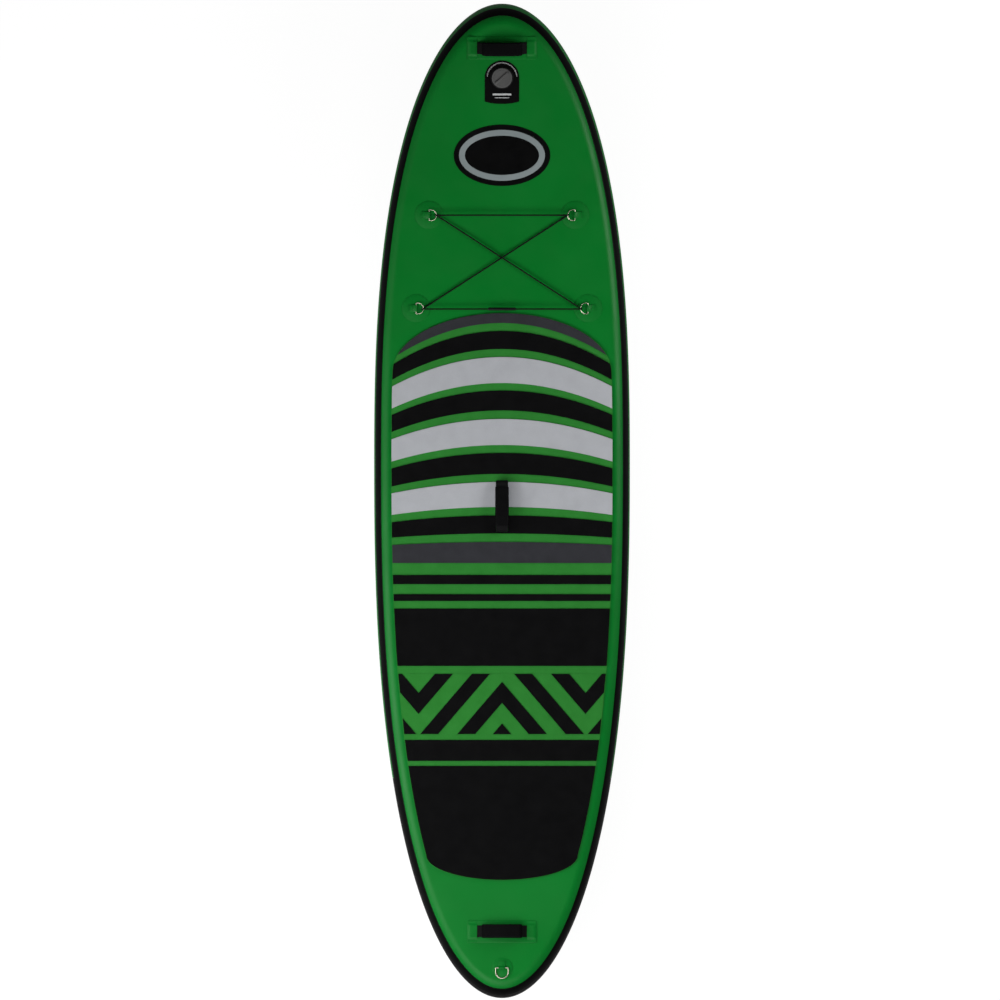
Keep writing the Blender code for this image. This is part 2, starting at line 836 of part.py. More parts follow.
def band_outline(start, end):
    # A stripe right across the pad, between two edges at these distances from the nose
    lower = arched_edge(end)
    if start is None:
        upper = [point for point in pad_rim(INLAY_INSET) if point[1] > lower[-1][1]]
    else:
        upper = arched_edge(start)
        between = [p for p in pad_rim(INLAY_INSET) if lower[-1][1] < p[1] < upper[-1][1]]
        upper += [p for p in between if abs(p[1] - upper[-1][1]) > 0.004 < abs(p[1] - lower[-1][1])]
    right = upper + lower[::-1]
    left = [(-x, y) for x, y in right[::-1] if x > 0.0001]
    return right + left


def handle_cutters():
    # Room under the centre handle for the strap's feet
    y = plan_y(CENTRE_HANDLE_FROM_NOSE, HALF)
    outer = CENTRE_SPAN / 2 + STRAP_ROOM
    inner = CENTRE_SPAN / 2 - CENTRE_CURL - CENTRE_FOOT - STRAP_ROOM
    made = []
    for name, side in (("front", 1), ("rear", -1)):
        centre = (0, y + side * (outer + inner) / 2, PAD_FLOOR)
        size = (WEB_WIDTH + 2 * STRAP_ROOM, outer - inner, 4 * (PAD_HEIGHT - PAD_FLOOR))
        made.append(cutter(box(f"strap_opening_{name}", size, centre)))
    return made


def inlay(name, outline, finish, cutters=()):
    part = plate(name, [outline], INLAY_FLOOR, PAD_HEIGHT, finish)
    for tool in cutters:
        boolean(part, tool)
    return bend(part, finish)


def make_pad():
    openings = handle_cutters()
    base = plate("pad_base", [pad_outline(0.0)], PAD_FLOOR, PAD_MIDDLE, FOAM_GREEN)
    for tool in openings:
        boolean(base, tool)
    bend(base, FOAM_GREEN)
    inlay("pad_cap", band_outline(None, CAP_END), FOAM_DARK)
    for i, band in enumerate(BLACK_BANDS):
        inlay(f"pad_arch_black_{i + 1}", band_outline(*band), FOAM_BLACK, openings)
    for i, band in enumerate(PALE_BANDS):
        inlay(f"pad_arch_pale_{i + 1}", band_outline(*band), FOAM_PALE, openings)
    inlay("pad_dark_band", band_outline(*DARK_BAND), FOAM_DARK)
    for i, band in enumerate(BARS):
        inlay(f"pad_bar_{i + 1}", band_outline(*band), FOAM_BLACK)
    inlay("pad_panel", band_outline(*PANEL), FOAM_BLACK)
    make_chevrons()
    start = plan_y(TAIL_PAD_START, HALF)
    rim_points = pad_rim(INLAY_INSET)
    right = [(half_width_on(rim_points, start), start)]
    right += [point for point in rim_points if point[1] < start - 0.002]
    outline = right + [(-x, y) for x, y in right[::-1] if x > 0.0001]
    inlay("tail_pad", outline, FOAM_BLACK)


def chevron_shapes(bottom, tall):
    # Zigzag bars of one slope: a roof in the middle, a slanted bar, a V and a corner each side
    thick = CHEVRON_BAR * CROSSWISE
    slope = CHEVRON_SLOPE * LENGTHWISE / CROSSWISE
    roof = CHEVRON_ROOF * tall
    half = roof / slope
    shapes = [
        [(-half, 0), (-half + thick, 0), (0, roof - thick * slope), (half - thick, 0), (half, 0), (0, roof)],
        [(-thick / 2, 0), (thick / 2, 0), (0, thick * slope / 2)],
    ]
    bar = CHEVRON_SLANT_X * CROSSWISE
    vee = CHEVRON_VEE_X * CROSSWISE
    low = CHEVRON_VEE_FOOT * tall
    high = low + thick * slope
    corner = CHEVRON_CORNER_X * CROSSWISE
    past = CHEVRON_END_X * CROSSWISE
    for side in (1, -1):
        right = [
            [(bar, tall), (bar + tall / slope, 0), (bar + thick + tall / slope, 0), (bar + thick, tall)],
            [
                (vee, low), (vee + (tall - low) / slope, tall), (vee + (tall - high) / slope, tall),
                (vee, high), (vee - (tall - high) / slope, tall), (vee - (tall - low) / slope, tall),
            ],
            [(corner, 0), (past, 0), (past, (past - corner) * slope)],
        ]
        shapes += [[(side * x, y) for x, y in shape[::side]] for shape in right]
    return [[(x, bottom + y) for x, y in shape] for shape in shapes]


def make_chevrons():
    # The bars stand on one backing film
    top = plan_y(CHEVRONS[0], HALF)
    bottom = plan_y(CHEVRONS[1], HALF)
    rim_points = pad_rim(INLAY_INSET)
    edge_top = half_width_on(rim_points, top)
    edge_bottom = half_width_on(rim_points, bottom)

    def zone(inset):
        right = [(edge_top - inset, top - inset), (edge_bottom - inset, bottom + inset)]
        return right + [(-x, y) for x, y in right[::-1]]

    part = plate("pad_chevrons", [zone(0)], INLAY_FLOOR, INLAY_FLOOR + FILM, FOAM_BLACK)
    bottom_clear = INLAY_FLOOR - PAD_TOP
    top_clear = PAD_HEIGHT + PAD_TOP
    bounds = plate("chevron_bounds", [zone(CHEVRON_EDGE)], bottom_clear, top_clear, FOAM_BLACK)
    for i, outline in enumerate(chevron_shapes(bottom, top - bottom)):
        low = INLAY_FLOOR + FILM / 2
        piece = plate(f"chevron_{i}", [outline], low, PAD_HEIGHT, FOAM_BLACK)
        boolean(piece, bounds, "INTERSECT")
        boolean(part, cutter(piece), "UNION")
    cutter(bounds)
    bend(part, FOAM_BLACK)


# Badge


def make_badge():
    y = plan_y(BADGE_FROM_NOSE, HALF)
    outline = ellipse(0, y, BADGE_WIDTH / 2, BADGE_LENGTH / 2, 28)
    low = HALF + GAP
    bend(plate("nose_badge", [outline], low, low + BADGE_SHEET, GLOSS_BLACK), GLOSS_BLACK)


# Valve


def make_valve():
    y = valve_y()
    low = HALF + GAP
    plate_top = GAP + PLATE_SHEET
    half = PLATE_WIDTH / 2
    arch = [
        (half * math.cos(math.radians(a)), y + PLATE_AHEAD * math.sin(math.radians(a)))
        for a in range(0, 181, 15)
    ]
    foot = y - PLATE_BEHIND
    shoulder = foot + PLATE_FOOT_BULGE
    quarter = foot + PLATE_FOOT_BULGE / 4
    outline = arch + [(-half, shoulder), (-half / 2, quarter), (0, foot)]
    outline += [(half / 2, quarter), (half, shoulder)]
    hole = ellipse(0, y, VALVE_NECK + 2 * GAP, VALVE_NECK + 2 * GAP, VALVE_STEPS)
    bend(plate("valve_plate", [outline, hole], low, low + PLATE_SHEET, GLOSS_BLACK), GLOSS_BLACK)

    frame = seat(0, y, HALF)
    flange_low = plate_top + GAP
    flange_top = flange_low + VALVE_FLANGE_HEIGHT
    button_low = -BUTTON_DROP - BUTTON_HEIGHT
    spider_top = button_low - STEM_PRESS - SPRING_PRESSED
    make_valve_body(frame, flange_low, flange_top, spider_top)
    make_valve_nut(frame)
    make_stem(frame, button_low)
    make_spring(frame, spider_top + GAP, button_low - GAP)
    make_cap(frame, flange_top)


def make_valve_body(frame, flange_low, flange_top, spider_top):
    # A flanged neck with a lip at its foot, and a spider of two arms and a hub across its bore
    lip = VALVE_BORE - VALVE_LIP
    neck = [
        (VALVE_FLANGE - VALVE_CHAMFER, flange_top), (VALVE_FLANGE, flange_top - VALVE_CHAMFER),
        (VALVE_FLANGE, flange_low), (VALVE_NECK, flange_low), (VALVE_NECK, -VALVE_DEPTH),
        (lip, -VALVE_DEPTH), (lip, VALVE_LIP_HEIGHT - VALVE_DEPTH),
        (VALVE_BORE, 2 * VALVE_LIP_HEIGHT - VALVE_DEPTH), (VALVE_BORE, flange_top),
    ]
    body = turned("valve_body", neck, GLOSS_BLACK)
    middle = (0, 0, spider_top - SPIDER_HEIGHT / 2)
    across = VALVE_BORE + VALVE_NECK
    for i, size in enumerate(((across, SPIDER_ARM, SPIDER_HEIGHT), (SPIDER_ARM, across, SPIDER_HEIGHT))):
        boolean(body, cutter(box(f"spider_arm_{i}", size, middle)), "UNION")
    hub = rod("spider_hub", STEM_RADIUS + SPIDER_HUB_WALL, SPIDER_HEIGHT, middle, (0, 0, 1))
    boolean(body, cutter(hub), "UNION")
    bore = rod("stem_bore", STEM_RADIUS + GAP, 4 * SPIDER_HEIGHT, middle, (0, 0, 1))
    boolean(body, cutter(bore))
    stand(smooth(replaced(body, GLOSS_BLACK)), frame)


def make_valve_nut(frame):
    # Under the deck: a flat gasket, and the flanged nut that clamps it
    rim = VALVE_FLANGE - VALVE_CHAMFER
    bore = VALVE_NECK + GAP
    under_skin = -SKIN - GAP
    ring = [(rim, under_skin), (rim, under_skin - GASKET), (bore, under_skin - GASKET), (bore, under_skin)]
    stand(turned("valve_gasket", ring, GLOSS_BLACK), frame)
    top = under_skin - GASKET - GAP
    wall = VALVE_NECK + NUT_WALL
    nut = [
        (VALVE_FLANGE, top), (VALVE_FLANGE, top - NUT_FLANGE), (wall, top - NUT_FLANGE),
        (wall, top - NUT_HEIGHT), (bore, top - NUT_HEIGHT), (bore, top),
    ]
    stand(turned("valve_nut", nut, GLOSS_BLACK), frame)


def make_stem(frame, button_low):
    # A button above, a poppet that seats on the body's lip below
    button = STEM_RADIUS + BUTTON_RIM
    poppet = VALVE_BORE - VALVE_LIP + POPPET_LAP
    poppet_top = -VALVE_DEPTH - GAP
    poppet_low = poppet_top - POPPET_HEIGHT
    stem = [
        (0, -BUTTON_DROP), (button, -BUTTON_DROP), (button, button_low), (STEM_RADIUS, button_low),
        (STEM_RADIUS, poppet_top), (poppet, poppet_top), (poppet, poppet_low), (0, poppet_low),
    ]
    stand(turned("valve_stem", stem, GLOSS_BLACK), frame)


def make_spring(frame, low, high):
    # A round-wire helix between the spider's hub and the stem's button
    radius = STEM_RADIUS + GAP + 2 * SPRING_WIRE
    bottom = low + SPRING_WIRE
    top = high - SPRING_WIRE
    count = int(SPRING_TURNS * SPRING_STEPS)
    points = []
    for i in range(count + 1):
        turn = 2 * math.pi * SPRING_TURNS * i / count
        height = bottom + (top - bottom) * i / count
        points.append(Vector((radius * math.cos(turn), radius * math.sin(turn), height)))
    print("least gap between the spring's turns, in mm:", least_turn_gap(points))
    curve = bpy.data.curves.new("valve_spring", "CURVE")
    curve.dimensions = "3D"
    curve.bevel_depth = SPRING_WIRE
    curve.bevel_resolution = 1
    curve.use_fill_caps = True
    spline = curve.splines.new("POLY")
    spline.points.add(count)
    for point, place in zip(spline.points, points):
        point.co = (*place, 1)
    obj = add_part("valve_spring", curve, STEEL)
    stand(smooth(replaced(obj, STEEL)), frame)


def least_turn_gap(points):
    # Between points of the wire that are more than half a turn apart along it
    apart = SPRING_STEPS // 2 + 1
    between = [(a - b).length for i, a in enumerate(points) for b in points[i + apart:]]
    return round(1000 * (min(between) - 2 * SPRING_WIRE), 2)


def make_cap(frame, flange_top):
    # A disc with a finger bar, and a grooved plug that goes into the valve's mouth
    low = flange_top + GAP
    top = low + CAP_HEIGHT
    plug = VALVE_BORE - PLUG_CLEARANCE
    plug_low = flange_top - PLUG_DEPTH
    groove_middle = (plug_low + flange_top) / 2
    groove_top = groove_middle + SEAL_GROOVE / 2
    groove_low = groove_middle - SEAL_GROOVE / 2
    profile = [
        (0, top), (CAP_RADIUS - CAP_CHAMFER, top), (CAP_RADIUS, top - CAP_CHAMFER), (CAP_RADIUS, low),
        (plug, low), (plug, groove_top), (plug - SEAL_GROOVE, groove_top),
        (plug - SEAL_GROOVE, groove_low), (plug, groove_low), (plug, plug_low),
        (plug - PLUG_WALL, plug_low), (plug - PLUG_WALL, top - CAP_WALL), (0, top - CAP_WALL),
    ]
    cap = turned("valve_cap", profile, CAP_GREY)
    long_side, short_side, tall = FINGER_BAR
    sunk = CAP_WALL / 4
    bar = box("finger_bar", (long_side, short_side, tall + sunk), (0, 0, top + (tall - sunk) / 2))
    bar.rotation_euler.z = math.radians(FINGER_BAR_TURN_DEG)
    boolean(cap, cutter(bar), "UNION")
    stand(replaced(cap, CAP_GREY), frame)
    facet_room = plug * (1 - math.cos(math.pi / VALVE_STEPS))
    seal = (SEAL_GROOVE - GAP) / 2 - facet_room
    ring = []
    for i in range(6):
        turn = 2 * math.pi * i / 6
        ring.append((plug - SEAL_GROOVE / 2 + seal * math.cos(turn), groove_middle - seal * math.sin(turn)))
    stand(turned("valve_cap_seal", ring, GLOSS_BLACK), frame)


# Handles: each strap is half of a middle line, from its foot to its crown, as (along, height)


def crown_line(reach, crown, drop, steps):
    shares = [1 - i / steps for i in range(1, steps + 1)]
    return [(reach * share, crown - drop * share ** 2) for share in shares]


def patched_strap(foot):
    # Its foot lies in a pocket of the patch
    end = HANDLE_PATCH_LENGTH / 2
    rise_from = end - HANDLE_COVER - FOOT_RUN_OUT
    high = HANDLE_HEIGHT - HANDLE_CROWN_DROP
    points = [(end - FOOT_END, foot), (rise_from, foot)]
    for i in range(1, 9):
        share = i / 8
        eased = share * share * (3 - 2 * share)
        points.append((rise_from - HANDLE_SHOULDER * share, foot + (high - foot) * eased))
    return points + crown_line(rise_from - HANDLE_SHOULDER, HANDLE_HEIGHT, HANDLE_CROWN_DROP, 5)


def curled_strap(foot):
    # Its foot turns back under the arch
    reach = CENTRE_SPAN / 2 - CENTRE_CURL
    high = CENTRE_HEIGHT - CENTRE_CROWN_DROP
    middle = (foot + high) / 2
    points = [(reach - CENTRE_FOOT, foot), (reach - CENTRE_FOOT / 2, foot)]
    for i in range(9):
        turn = math.radians(-90 + 180 * i / 8)
        points.append((reach + CENTRE_CURL * math.cos(turn), middle + (high - middle) * math.sin(turn)))
    return points + crown_line(reach, CENTRE_HEIGHT, CENTRE_CROWN_DROP, 6)


def whole_line(half):
    return half + [(-along, height) for along, height in half[-2::-1]]


def ribbon(name, line, finish):
    # Webbing: a strip along the line, thickened
    shape = bmesh.new()
    rows = []
    for along, height in line:
        rows.append([shape.verts.new((along, side * WEB_WIDTH / 2, height)) for side in (-1, 1)])
    for first, second in zip(rows, rows[1:]):
        shape.faces.new((first[0], second[0], second[1], first[1]))
    mesh = bpy.data.meshes.new(name)
    shape.to_mesh(mesh)
    shape.free()
    obj = add_part(name, mesh, finish)
    solidify = obj.modifiers.new("Solidify", "SOLIDIFY")
    solidify.thickness = WEB
    solidify.offset = 0
    solidify.use_even_offset = True
    return replaced(obj, finish)


def grip(name, line, finish):
    # A padded sleeve that follows the strap's crown, with the strap's slot through it
    reach = GRIP_LENGTH / 2
    upper = upper_run(line)
    inner = [point for point in upper if abs(point[0]) < reach - 0.004]
    end_height = height_along(upper, reach)
    run = [(reach, end_height), *inner, (-reach, end_height)]
    outer = rounded_section(WEB_WIDTH / 2 + GRIP_SIDE_WALL, GRIP_THICKNESS / 2, 3)
    slot = rounded_section(WEB_WIDTH / 2 + 2 * GAP, WEB / 2 + 2 * GAP, 0)
    shape = bmesh.new()
    rings = []
    for i, (along, height) in enumerate(run):
        before = run[max(i - 1, 0)]
        after = run[min(i + 1, len(run) - 1)]
        ahead = Vector((after[0] - before[0], 0, after[1] - before[1])).normalized()
        up = Vector((0, 1, 0)).cross(ahead)
        if up.z < 0:
            up.negate()
        centre = Vector((along, 0, height))
        ring = []
        for section in (outer, slot):
            ring.append([shape.verts.new(centre + Vector((0, a, 0)) + up * b) for a, b in section])
        rings.append(ring)
    for layer in (0, 1):
        for first, second in zip(rings, rings[1:]):
            count = len(first[layer])
            for i in range(count):
                after = (i + 1) % count
                corners = (first[layer][i], first[layer][after], second[layer][after], second[layer][i])
                shape.faces.new(corners)
    for ring in (rings[0], rings[-1]):
        edges = []
        for loop in ring:
            for i, vertex in enumerate(loop):
                edges.append(shape.edges.get((vertex, loop[(i + 1) % len(loop)])))
        bmesh.ops.triangle_fill(shape, edges=edges, use_beauty=True)
    return finished_shell(name, shape, finish)


def upper_run(line):
    # The strap's points from one shoulder over the crown to the other
    crown = max(height for _, height in line)
    return [point for point in line if point[1] > crown / 2]


def height_along(line, along):
    for (x1, z1), (x2, z2) in zip(line, line[1:]):
        if x2 <= along <= x1 and x1 > x2:
            return z1 + (z2 - z1) * (x1 - along) / (x1 - x2)
    return line[0][1]


def rounded_section(half_wide, half_tall, corner_steps):
    if corner_steps == 0:
        return [(half_wide, half_tall), (-half_wide, half_tall), (-half_wide, -half_tall),
                (half_wide, -half_tall)]
    radius = half_tall * 0.8
    points = []
    for x_side, y_side, first in ((1, 1, 0), (-1, 1, 90), (-1, -1, 180), (1, -1, 270)):
        for i in range(corner_steps):
            turn = math.radians(first + 90 * i / (corner_steps - 1))
            points.append((
                x_side * (half_wide - radius) + radius * math.cos(turn),
                y_side * (half_tall - radius) + radius * math.sin(turn),
            ))
    return points


def handle_patch(name, y):
    # A welded sheet with a pocket at each end that holds the strap's foot
    half = HANDLE_PATCH_LENGTH / 2
    low = HALF + GAP
    floor = low + PATCH_SHEET
    pocket = 2 * GAP + WEB
    top = floor + pocket + PATCH_SHEET
    back = half - POCKET_END
    sheet = [(half, low), (half, top), (half - HANDLE_COVER, top)]
    sheet += [(half - HANDLE_COVER, floor + pocket), (back, floor + pocket), (back, floor)]
    outline = sheet + [(-x, z) for x, z in sheet[::-1]]
    profile = plate(name, [outline], -HANDLE_PATCH_WIDTH / 2, HANDLE_PATCH_WIDTH / 2, DECK_GREEN)
    upright = Matrix.Rotation(math.radians(90), 4, "X")
    profile.matrix_world = Matrix.Translation((0, y, 0)) @ upright
    bend(profile, DECK_GREEN)


def make_handles():
    foot = GAP + PATCH_SHEET + GAP + WEB / 2
    places = (
        ("nose_handle", NOSE_HANDLE_FROM_NOSE),
        ("tail_handle", TAIL_HANDLE_FROM_NOSE),
    )
    for name, distance in places:
        y = plan_y(distance, HALF)
        handle_patch(f"{name}_patch", y)
        frame = seat(0, y, HALF)
        line = whole_line(patched_strap(foot))
        stand(smooth(ribbon(f"{name}_strap", line, WEBBING)), frame)
        stand(smooth(grip(f"{name}_grip", line, WEBBING)), frame)
    frame = seat(0, plan_y(CENTRE_HANDLE_FROM_NOSE, HALF), HALF, math.radians(90))
    line = whole_line(curled_strap(GAP + WEB / 2))
    stand(smooth(ribbon("centre_handle_strap", line, WEBBING)), frame)
    stand(smooth(grip("centre_handle_grip", line, WEBBING)), frame)


# Rings, bungee and leash ring


def ring_bar_height(wire):
    # The bar's middle above the deck, in the loop that is sewn to the patch
    return GAP + PATCH_SHEET - LOOP_SINK + LOOP_SHEET + LOOP_CLEARANCE + wire


def ring_patch(name, x, y, radius, wire, yaw):
    # A round sheet with a folded strip that carries the ring's bar
    low = HALF + GAP
    disc = plate(name, [ellipse(x, y, radius, radius, 24)], low, low + PATCH_SHEET, DECK_GREEN)
    bar = ring_bar_height(wire)
    bore = wire + LOOP_CLEARANCE
    outer = bore + LOOP_SHEET
    foot = GAP + PATCH_SHEET - LOOP_SINK
    arc = [
        (outer * math.cos(math.radians(a)), bar + outer * math.sin(math.radians(a)))
        for a in range(-60, 121, 30)
    ]
    outline = arc + [(-LOOP_TAIL, foot + 2 * LOOP_SHEET), (-LOOP_TAIL, foot), (outer * 0.5, foot)]
    hole = ellipse(0, bar, bore, bore, 10)
    strip = plate(f"{name}_loop", [outline, hole], -LOOP_HALF_WIDTH, LOOP_HALF_WIDTH, DECK_GREEN)
    upright = Matrix.Rotation(math.radians(90), 4, "X")
    strip.matrix_world = (
        Matrix.Translation((x, y, HALF)) @ Matrix.Rotation(yaw, 4, "Z") @ upright
    )
    boolean(disc, cutter(strip), "UNION")
    bend(disc, DECK_GREEN)


def ring_frame(x, y, wire, yaw, tilt):
    # On the hinge line, X towards the ring's arc, Y along its bar
    upright = Matrix.Translation((0, 0, ring_bar_height(wire)))
    return seat(x, y, HALF, yaw) @ upright @ Matrix.Rotation(-tilt, 4, "Y")


def d_ring(name, bar, reach, wire, frame):
    half = bar / 2 - wire
    far = reach - 2 * wire
    straight = max(far - half, far * 0.15)
    points = [(0, -half * 0.9, 0), (0, half * 0.9, 0), (half * 0.1, half, 0)]
    for i in range(9):
        turn = math.radians(90 - 180 * i / 8)
        points.append((straight + (far - straight) * math.cos(turn), half * math.sin(turn), 0))
    points.append((half * 0.1, -half, 0))
    curve = bpy.data.curves.new(name, "CURVE")
    curve.dimensions = "3D"
    curve.bevel_depth = wire
    curve.bevel_resolution = 2
    spline = curve.splines.new("POLY")
    spline.points.add(len(points) - 1)
    for point, co in zip(spline.points, points):
        point.co = (*co, 1)
    spline.use_cyclic_u = True
    obj = add_part(name, curve, STEEL)
    part = smooth(replaced(obj, STEEL), 60)
    part.matrix_world = frame
    return part


def bungee_rings():
    # Name, x, plan y and yaw of each bungee ring: the arc points to the middle line
    made = []
    for row, (across, distance) in (("front", FRONT_RING), ("rear", REAR_RING)):
        for side, sign in (("right", 1), ("left", -1)):
            yaw = math.pi if sign > 0 else 0.0
            x = sign * across * CROSSWISE
            made.append((f"{row}_{side}_ring", x, plan_y(distance, HALF), yaw))
    return made


def make_rings():
    tilt = math.radians(RING_TILT_DEG)
    for name, x, y, yaw in bungee_rings():
        ring_patch(f"{name}_patch", x, y, RING_PATCH, RING_WIRE, yaw)
        frame = ring_frame(x, y, RING_WIRE, yaw, tilt)
        d_ring(name, RING_BAR, RING_REACH, RING_WIRE, frame)
    y = plan_y(LEASH_FROM_NOSE, HALF)
    yaw = math.radians(-90)
    ring_patch("leash_ring_patch", 0, y, LEASH_PATCH, LEASH_WIRE, yaw)
    fall = ring_bar_height(LEASH_WIRE) - LEASH_WIRE - GAP - PATCH_SHEET - GAP
    tilt = -math.asin(fall / (LEASH_REACH - LEASH_WIRE))
    d_ring("leash_ring", LEASH_BAR, LEASH_REACH, LEASH_WIRE, ring_frame(0, y, LEASH_WIRE, yaw, tilt))


def turn_round_ring(site, arrival, departure, goes_up):
    # Points of the cord round a ring's arc, from below to above or from above to below
    name, x, y, yaw = site
    frame = ring_frame(x, y, RING_WIRE, yaw, math.radians(RING_TILT_DEG))
    apex = frame @ Vector((RING_REACH - 2 * RING_WIRE, 0, 0))
    up = (frame.to_3x3() @ Vector((0, 0, 1))).normalized()
    radius = RING_WIRE + CORD + CORD_CLEARANCE
    points = []
    for i in range(5):
        share = i / 4
        lean = -90 + 180 * share if goes_up else 90 - 180 * share
        inward = arrival.lerp(departure, share).normalized()
        turn = math.radians(lean)
        outward = -inward * math.cos(turn) * radius
        sideways = (departure - arrival).normalized() * CORD_SIDESTEP * (2 * share - 1)
        points.append(apex + outward + up * math.sin(turn) * radius + sideways)
    return points


def crossing_run(start, end, lift):
    # A diagonal that passes over or under the other one at the middle line
    share = start.x / (start.x - end.x)
    half_run = CROSSING_RUN / 2 / (end - start).length
    hump = [start.lerp(end, share + side * half_run) for side in (-1, 1)]
    hump = [point + Vector((0, 0, lift)) for point in hump]
    return [start.lerp(end, share / 2), *hump, start.lerp(end, (1 + share) / 2)]


def bungee_route():
    # One cord: from the sleeve round each ring in turn and back to the sleeve
    rings = {site[0]: site for site in bungee_rings()}
    order = ["rear_right_ring", "front_left_ring", "front_right_ring", "rear_left_ring"]
    rises = [False, True, False, True]
    spots = [to_row(rings[name][1], rings[name][2], HALF) for name in order]
    middle = (spots[0] + spots[3]) / 2
    stops = [middle, *spots, middle]
    legs = []
    for i, name in enumerate(order):
        arrival = (stops[i] - stops[i + 1]).normalized()
        departure = (stops[i + 2] - stops[i + 1]).normalized()
        legs.append(turn_round_ring(rings[name], arrival, departure, rises[i]))
    start = legs[0][0]
    end = legs[-1][-1]
    along = (start - end).normalized()
    centre = (start + end) / 2
    points = [centre + along * CORD / 2]
    lift = CORD + CROSSING_GAP / 2
    for leg, bow in zip(legs, (0, -lift, 0, lift)):
        before = points[-1]
        if bow:
            points += crossing_run(before, leg[0], bow)
        else:
            points += [before.lerp(leg[0], 1 / 3), before.lerp(leg[0], 2 / 3)]
        points += leg
    before = points[-1]
    last = centre - along * CORD / 2
    points += [before.lerp(last, 0.5), last]
    return points, centre, along


def make_bungee():
    points, centre, along = bungee_route()
    curve = bpy.data.curves.new("bungee_cord", "CURVE")
    curve.dimensions = "3D"
    curve.bevel_depth = CORD
    curve.bevel_resolution = 2
    curve.use_fill_caps = True
    spline = curve.splines.new("POLY")
    spline.points.add(len(points) - 1)
    for point, co in zip(spline.points, points):
        point.co = (*co, 1)
    obj = add_part("bungee_cord", curve, WEBBING)
    smooth(replaced(obj, WEBBING), 60)
    inner = CORD + GAP
    outer = inner + SLEEVE_WALL
    half = SLEEVE_LENGTH / 2
    edge = half - SLEEVE_CHAMFER
    profile = [
        (outer - SLEEVE_CHAMFER, half), (outer, edge), (outer, -edge), (outer - SLEEVE_CHAMFER, -half),
        (inner, -half), (inner, half),
    ]
    sleeve = turned("bungee_sleeve", profile, GLOSS_BLACK, 12)
    turn = Vector((0, 0, 1)).rotation_difference(along).to_matrix().to_4x4()
    sleeve.matrix_world = Matrix.Translation(centre) @ turn


# Fins


def fin_frame():
    return seat(0, plan_y(FIN_BOX_FROM_NOSE), -HALF)


def make_fin_box():
    # Returns the height of the ridge's lower face in the fin's frame
    ridge_side = SLOT_LENGTH + 2 * FIN_BOX_END_WALL
    flange_side = ridge_side + 2 * FIN_FLANGE_RIM
    flange_middle = -GAP - FIN_FLANGE_SHEET / 2
    low = -GAP - FIN_FLANGE_SHEET - FIN_BOX_HEIGHT
    flange = box("fin_box", (FIN_FLANGE_WIDTH, flange_side, FIN_FLANGE_SHEET), (0, 0, flange_middle))
    ridge_size = (FIN_BOX_WIDTH, ridge_side, flange_middle - low)
    ridge = box("fin_ridge", ridge_size, (0, 0, (low + flange_middle) / 2))
    bevel = ridge.modifiers.new("Bevel", "BEVEL")
    bevel.width = FIN_BOX_CHAMFER
    bevel.segments = 1
    bevel.limit_method = "ANGLE"
    boolean(flange, cutter(ridge), "UNION")
    boolean(flange, cutter(box("fin_slot", (SLOT_WIDTH, SLOT_LENGTH, 2 * SLOT_DEPTH), (0, 0, low))))
    groove_size = (GROOVE_WIDTH, SLOT_LENGTH, GROOVE_HEIGHT)
    boolean(flange, cutter(box("fin_groove", groove_size, (0, 0, low + GROOVE_MIDDLE))))
    stand(replaced(flange, GLOSS_BLACK), fin_frame())
    return low


def fin_blade(name, root_front, root_back, depth, sweep, thick, top, finish):
    # Stacked sections, from the root down to the tip, each a slim leaf
    shape = bmesh.new()
    rings = []
    for i in range(FIN_SECTIONS + 1):
        share = i / FIN_SECTIONS
        z = top - depth * share
        front = root_front - sweep * share ** 1.5
        back = root_back - sweep * FIN_TRAILING_SWEEP * share ** 0.8
        if share > FIN_TIP_FROM:
            past = (share - FIN_TIP_FROM) / FIN_TIP_ROUND
            squeeze = max(FIN_TIP_CHORD, math.sqrt(max(0.0, 1 - past ** 2)))
            centre = front - (front - back) * FIN_TIP_CENTRE
            front = centre + (front - centre) * squeeze
            back = centre + (back - centre) * squeeze
        half = thick / 2 * (1 - FIN_TAPER * share)
        leaf = [(half * width, front - (front - back) * behind) for behind, width in FIN_LEAF]
        ring = leaf + [(-x, y) for x, y in leaf[::-1]]
        rings.append([shape.verts.new((x, y, z)) for x, y in ring])
    for first, second in zip(rings, rings[1:]):
        for i in range(len(first)):
            after = (i + 1) % len(first)
            shape.faces.new((first[i], first[after], second[after], second[i]))
    shape.faces.new(rings[0])
    shape.faces.new(rings[-1])
    return finished_shell(name, shape, finish)


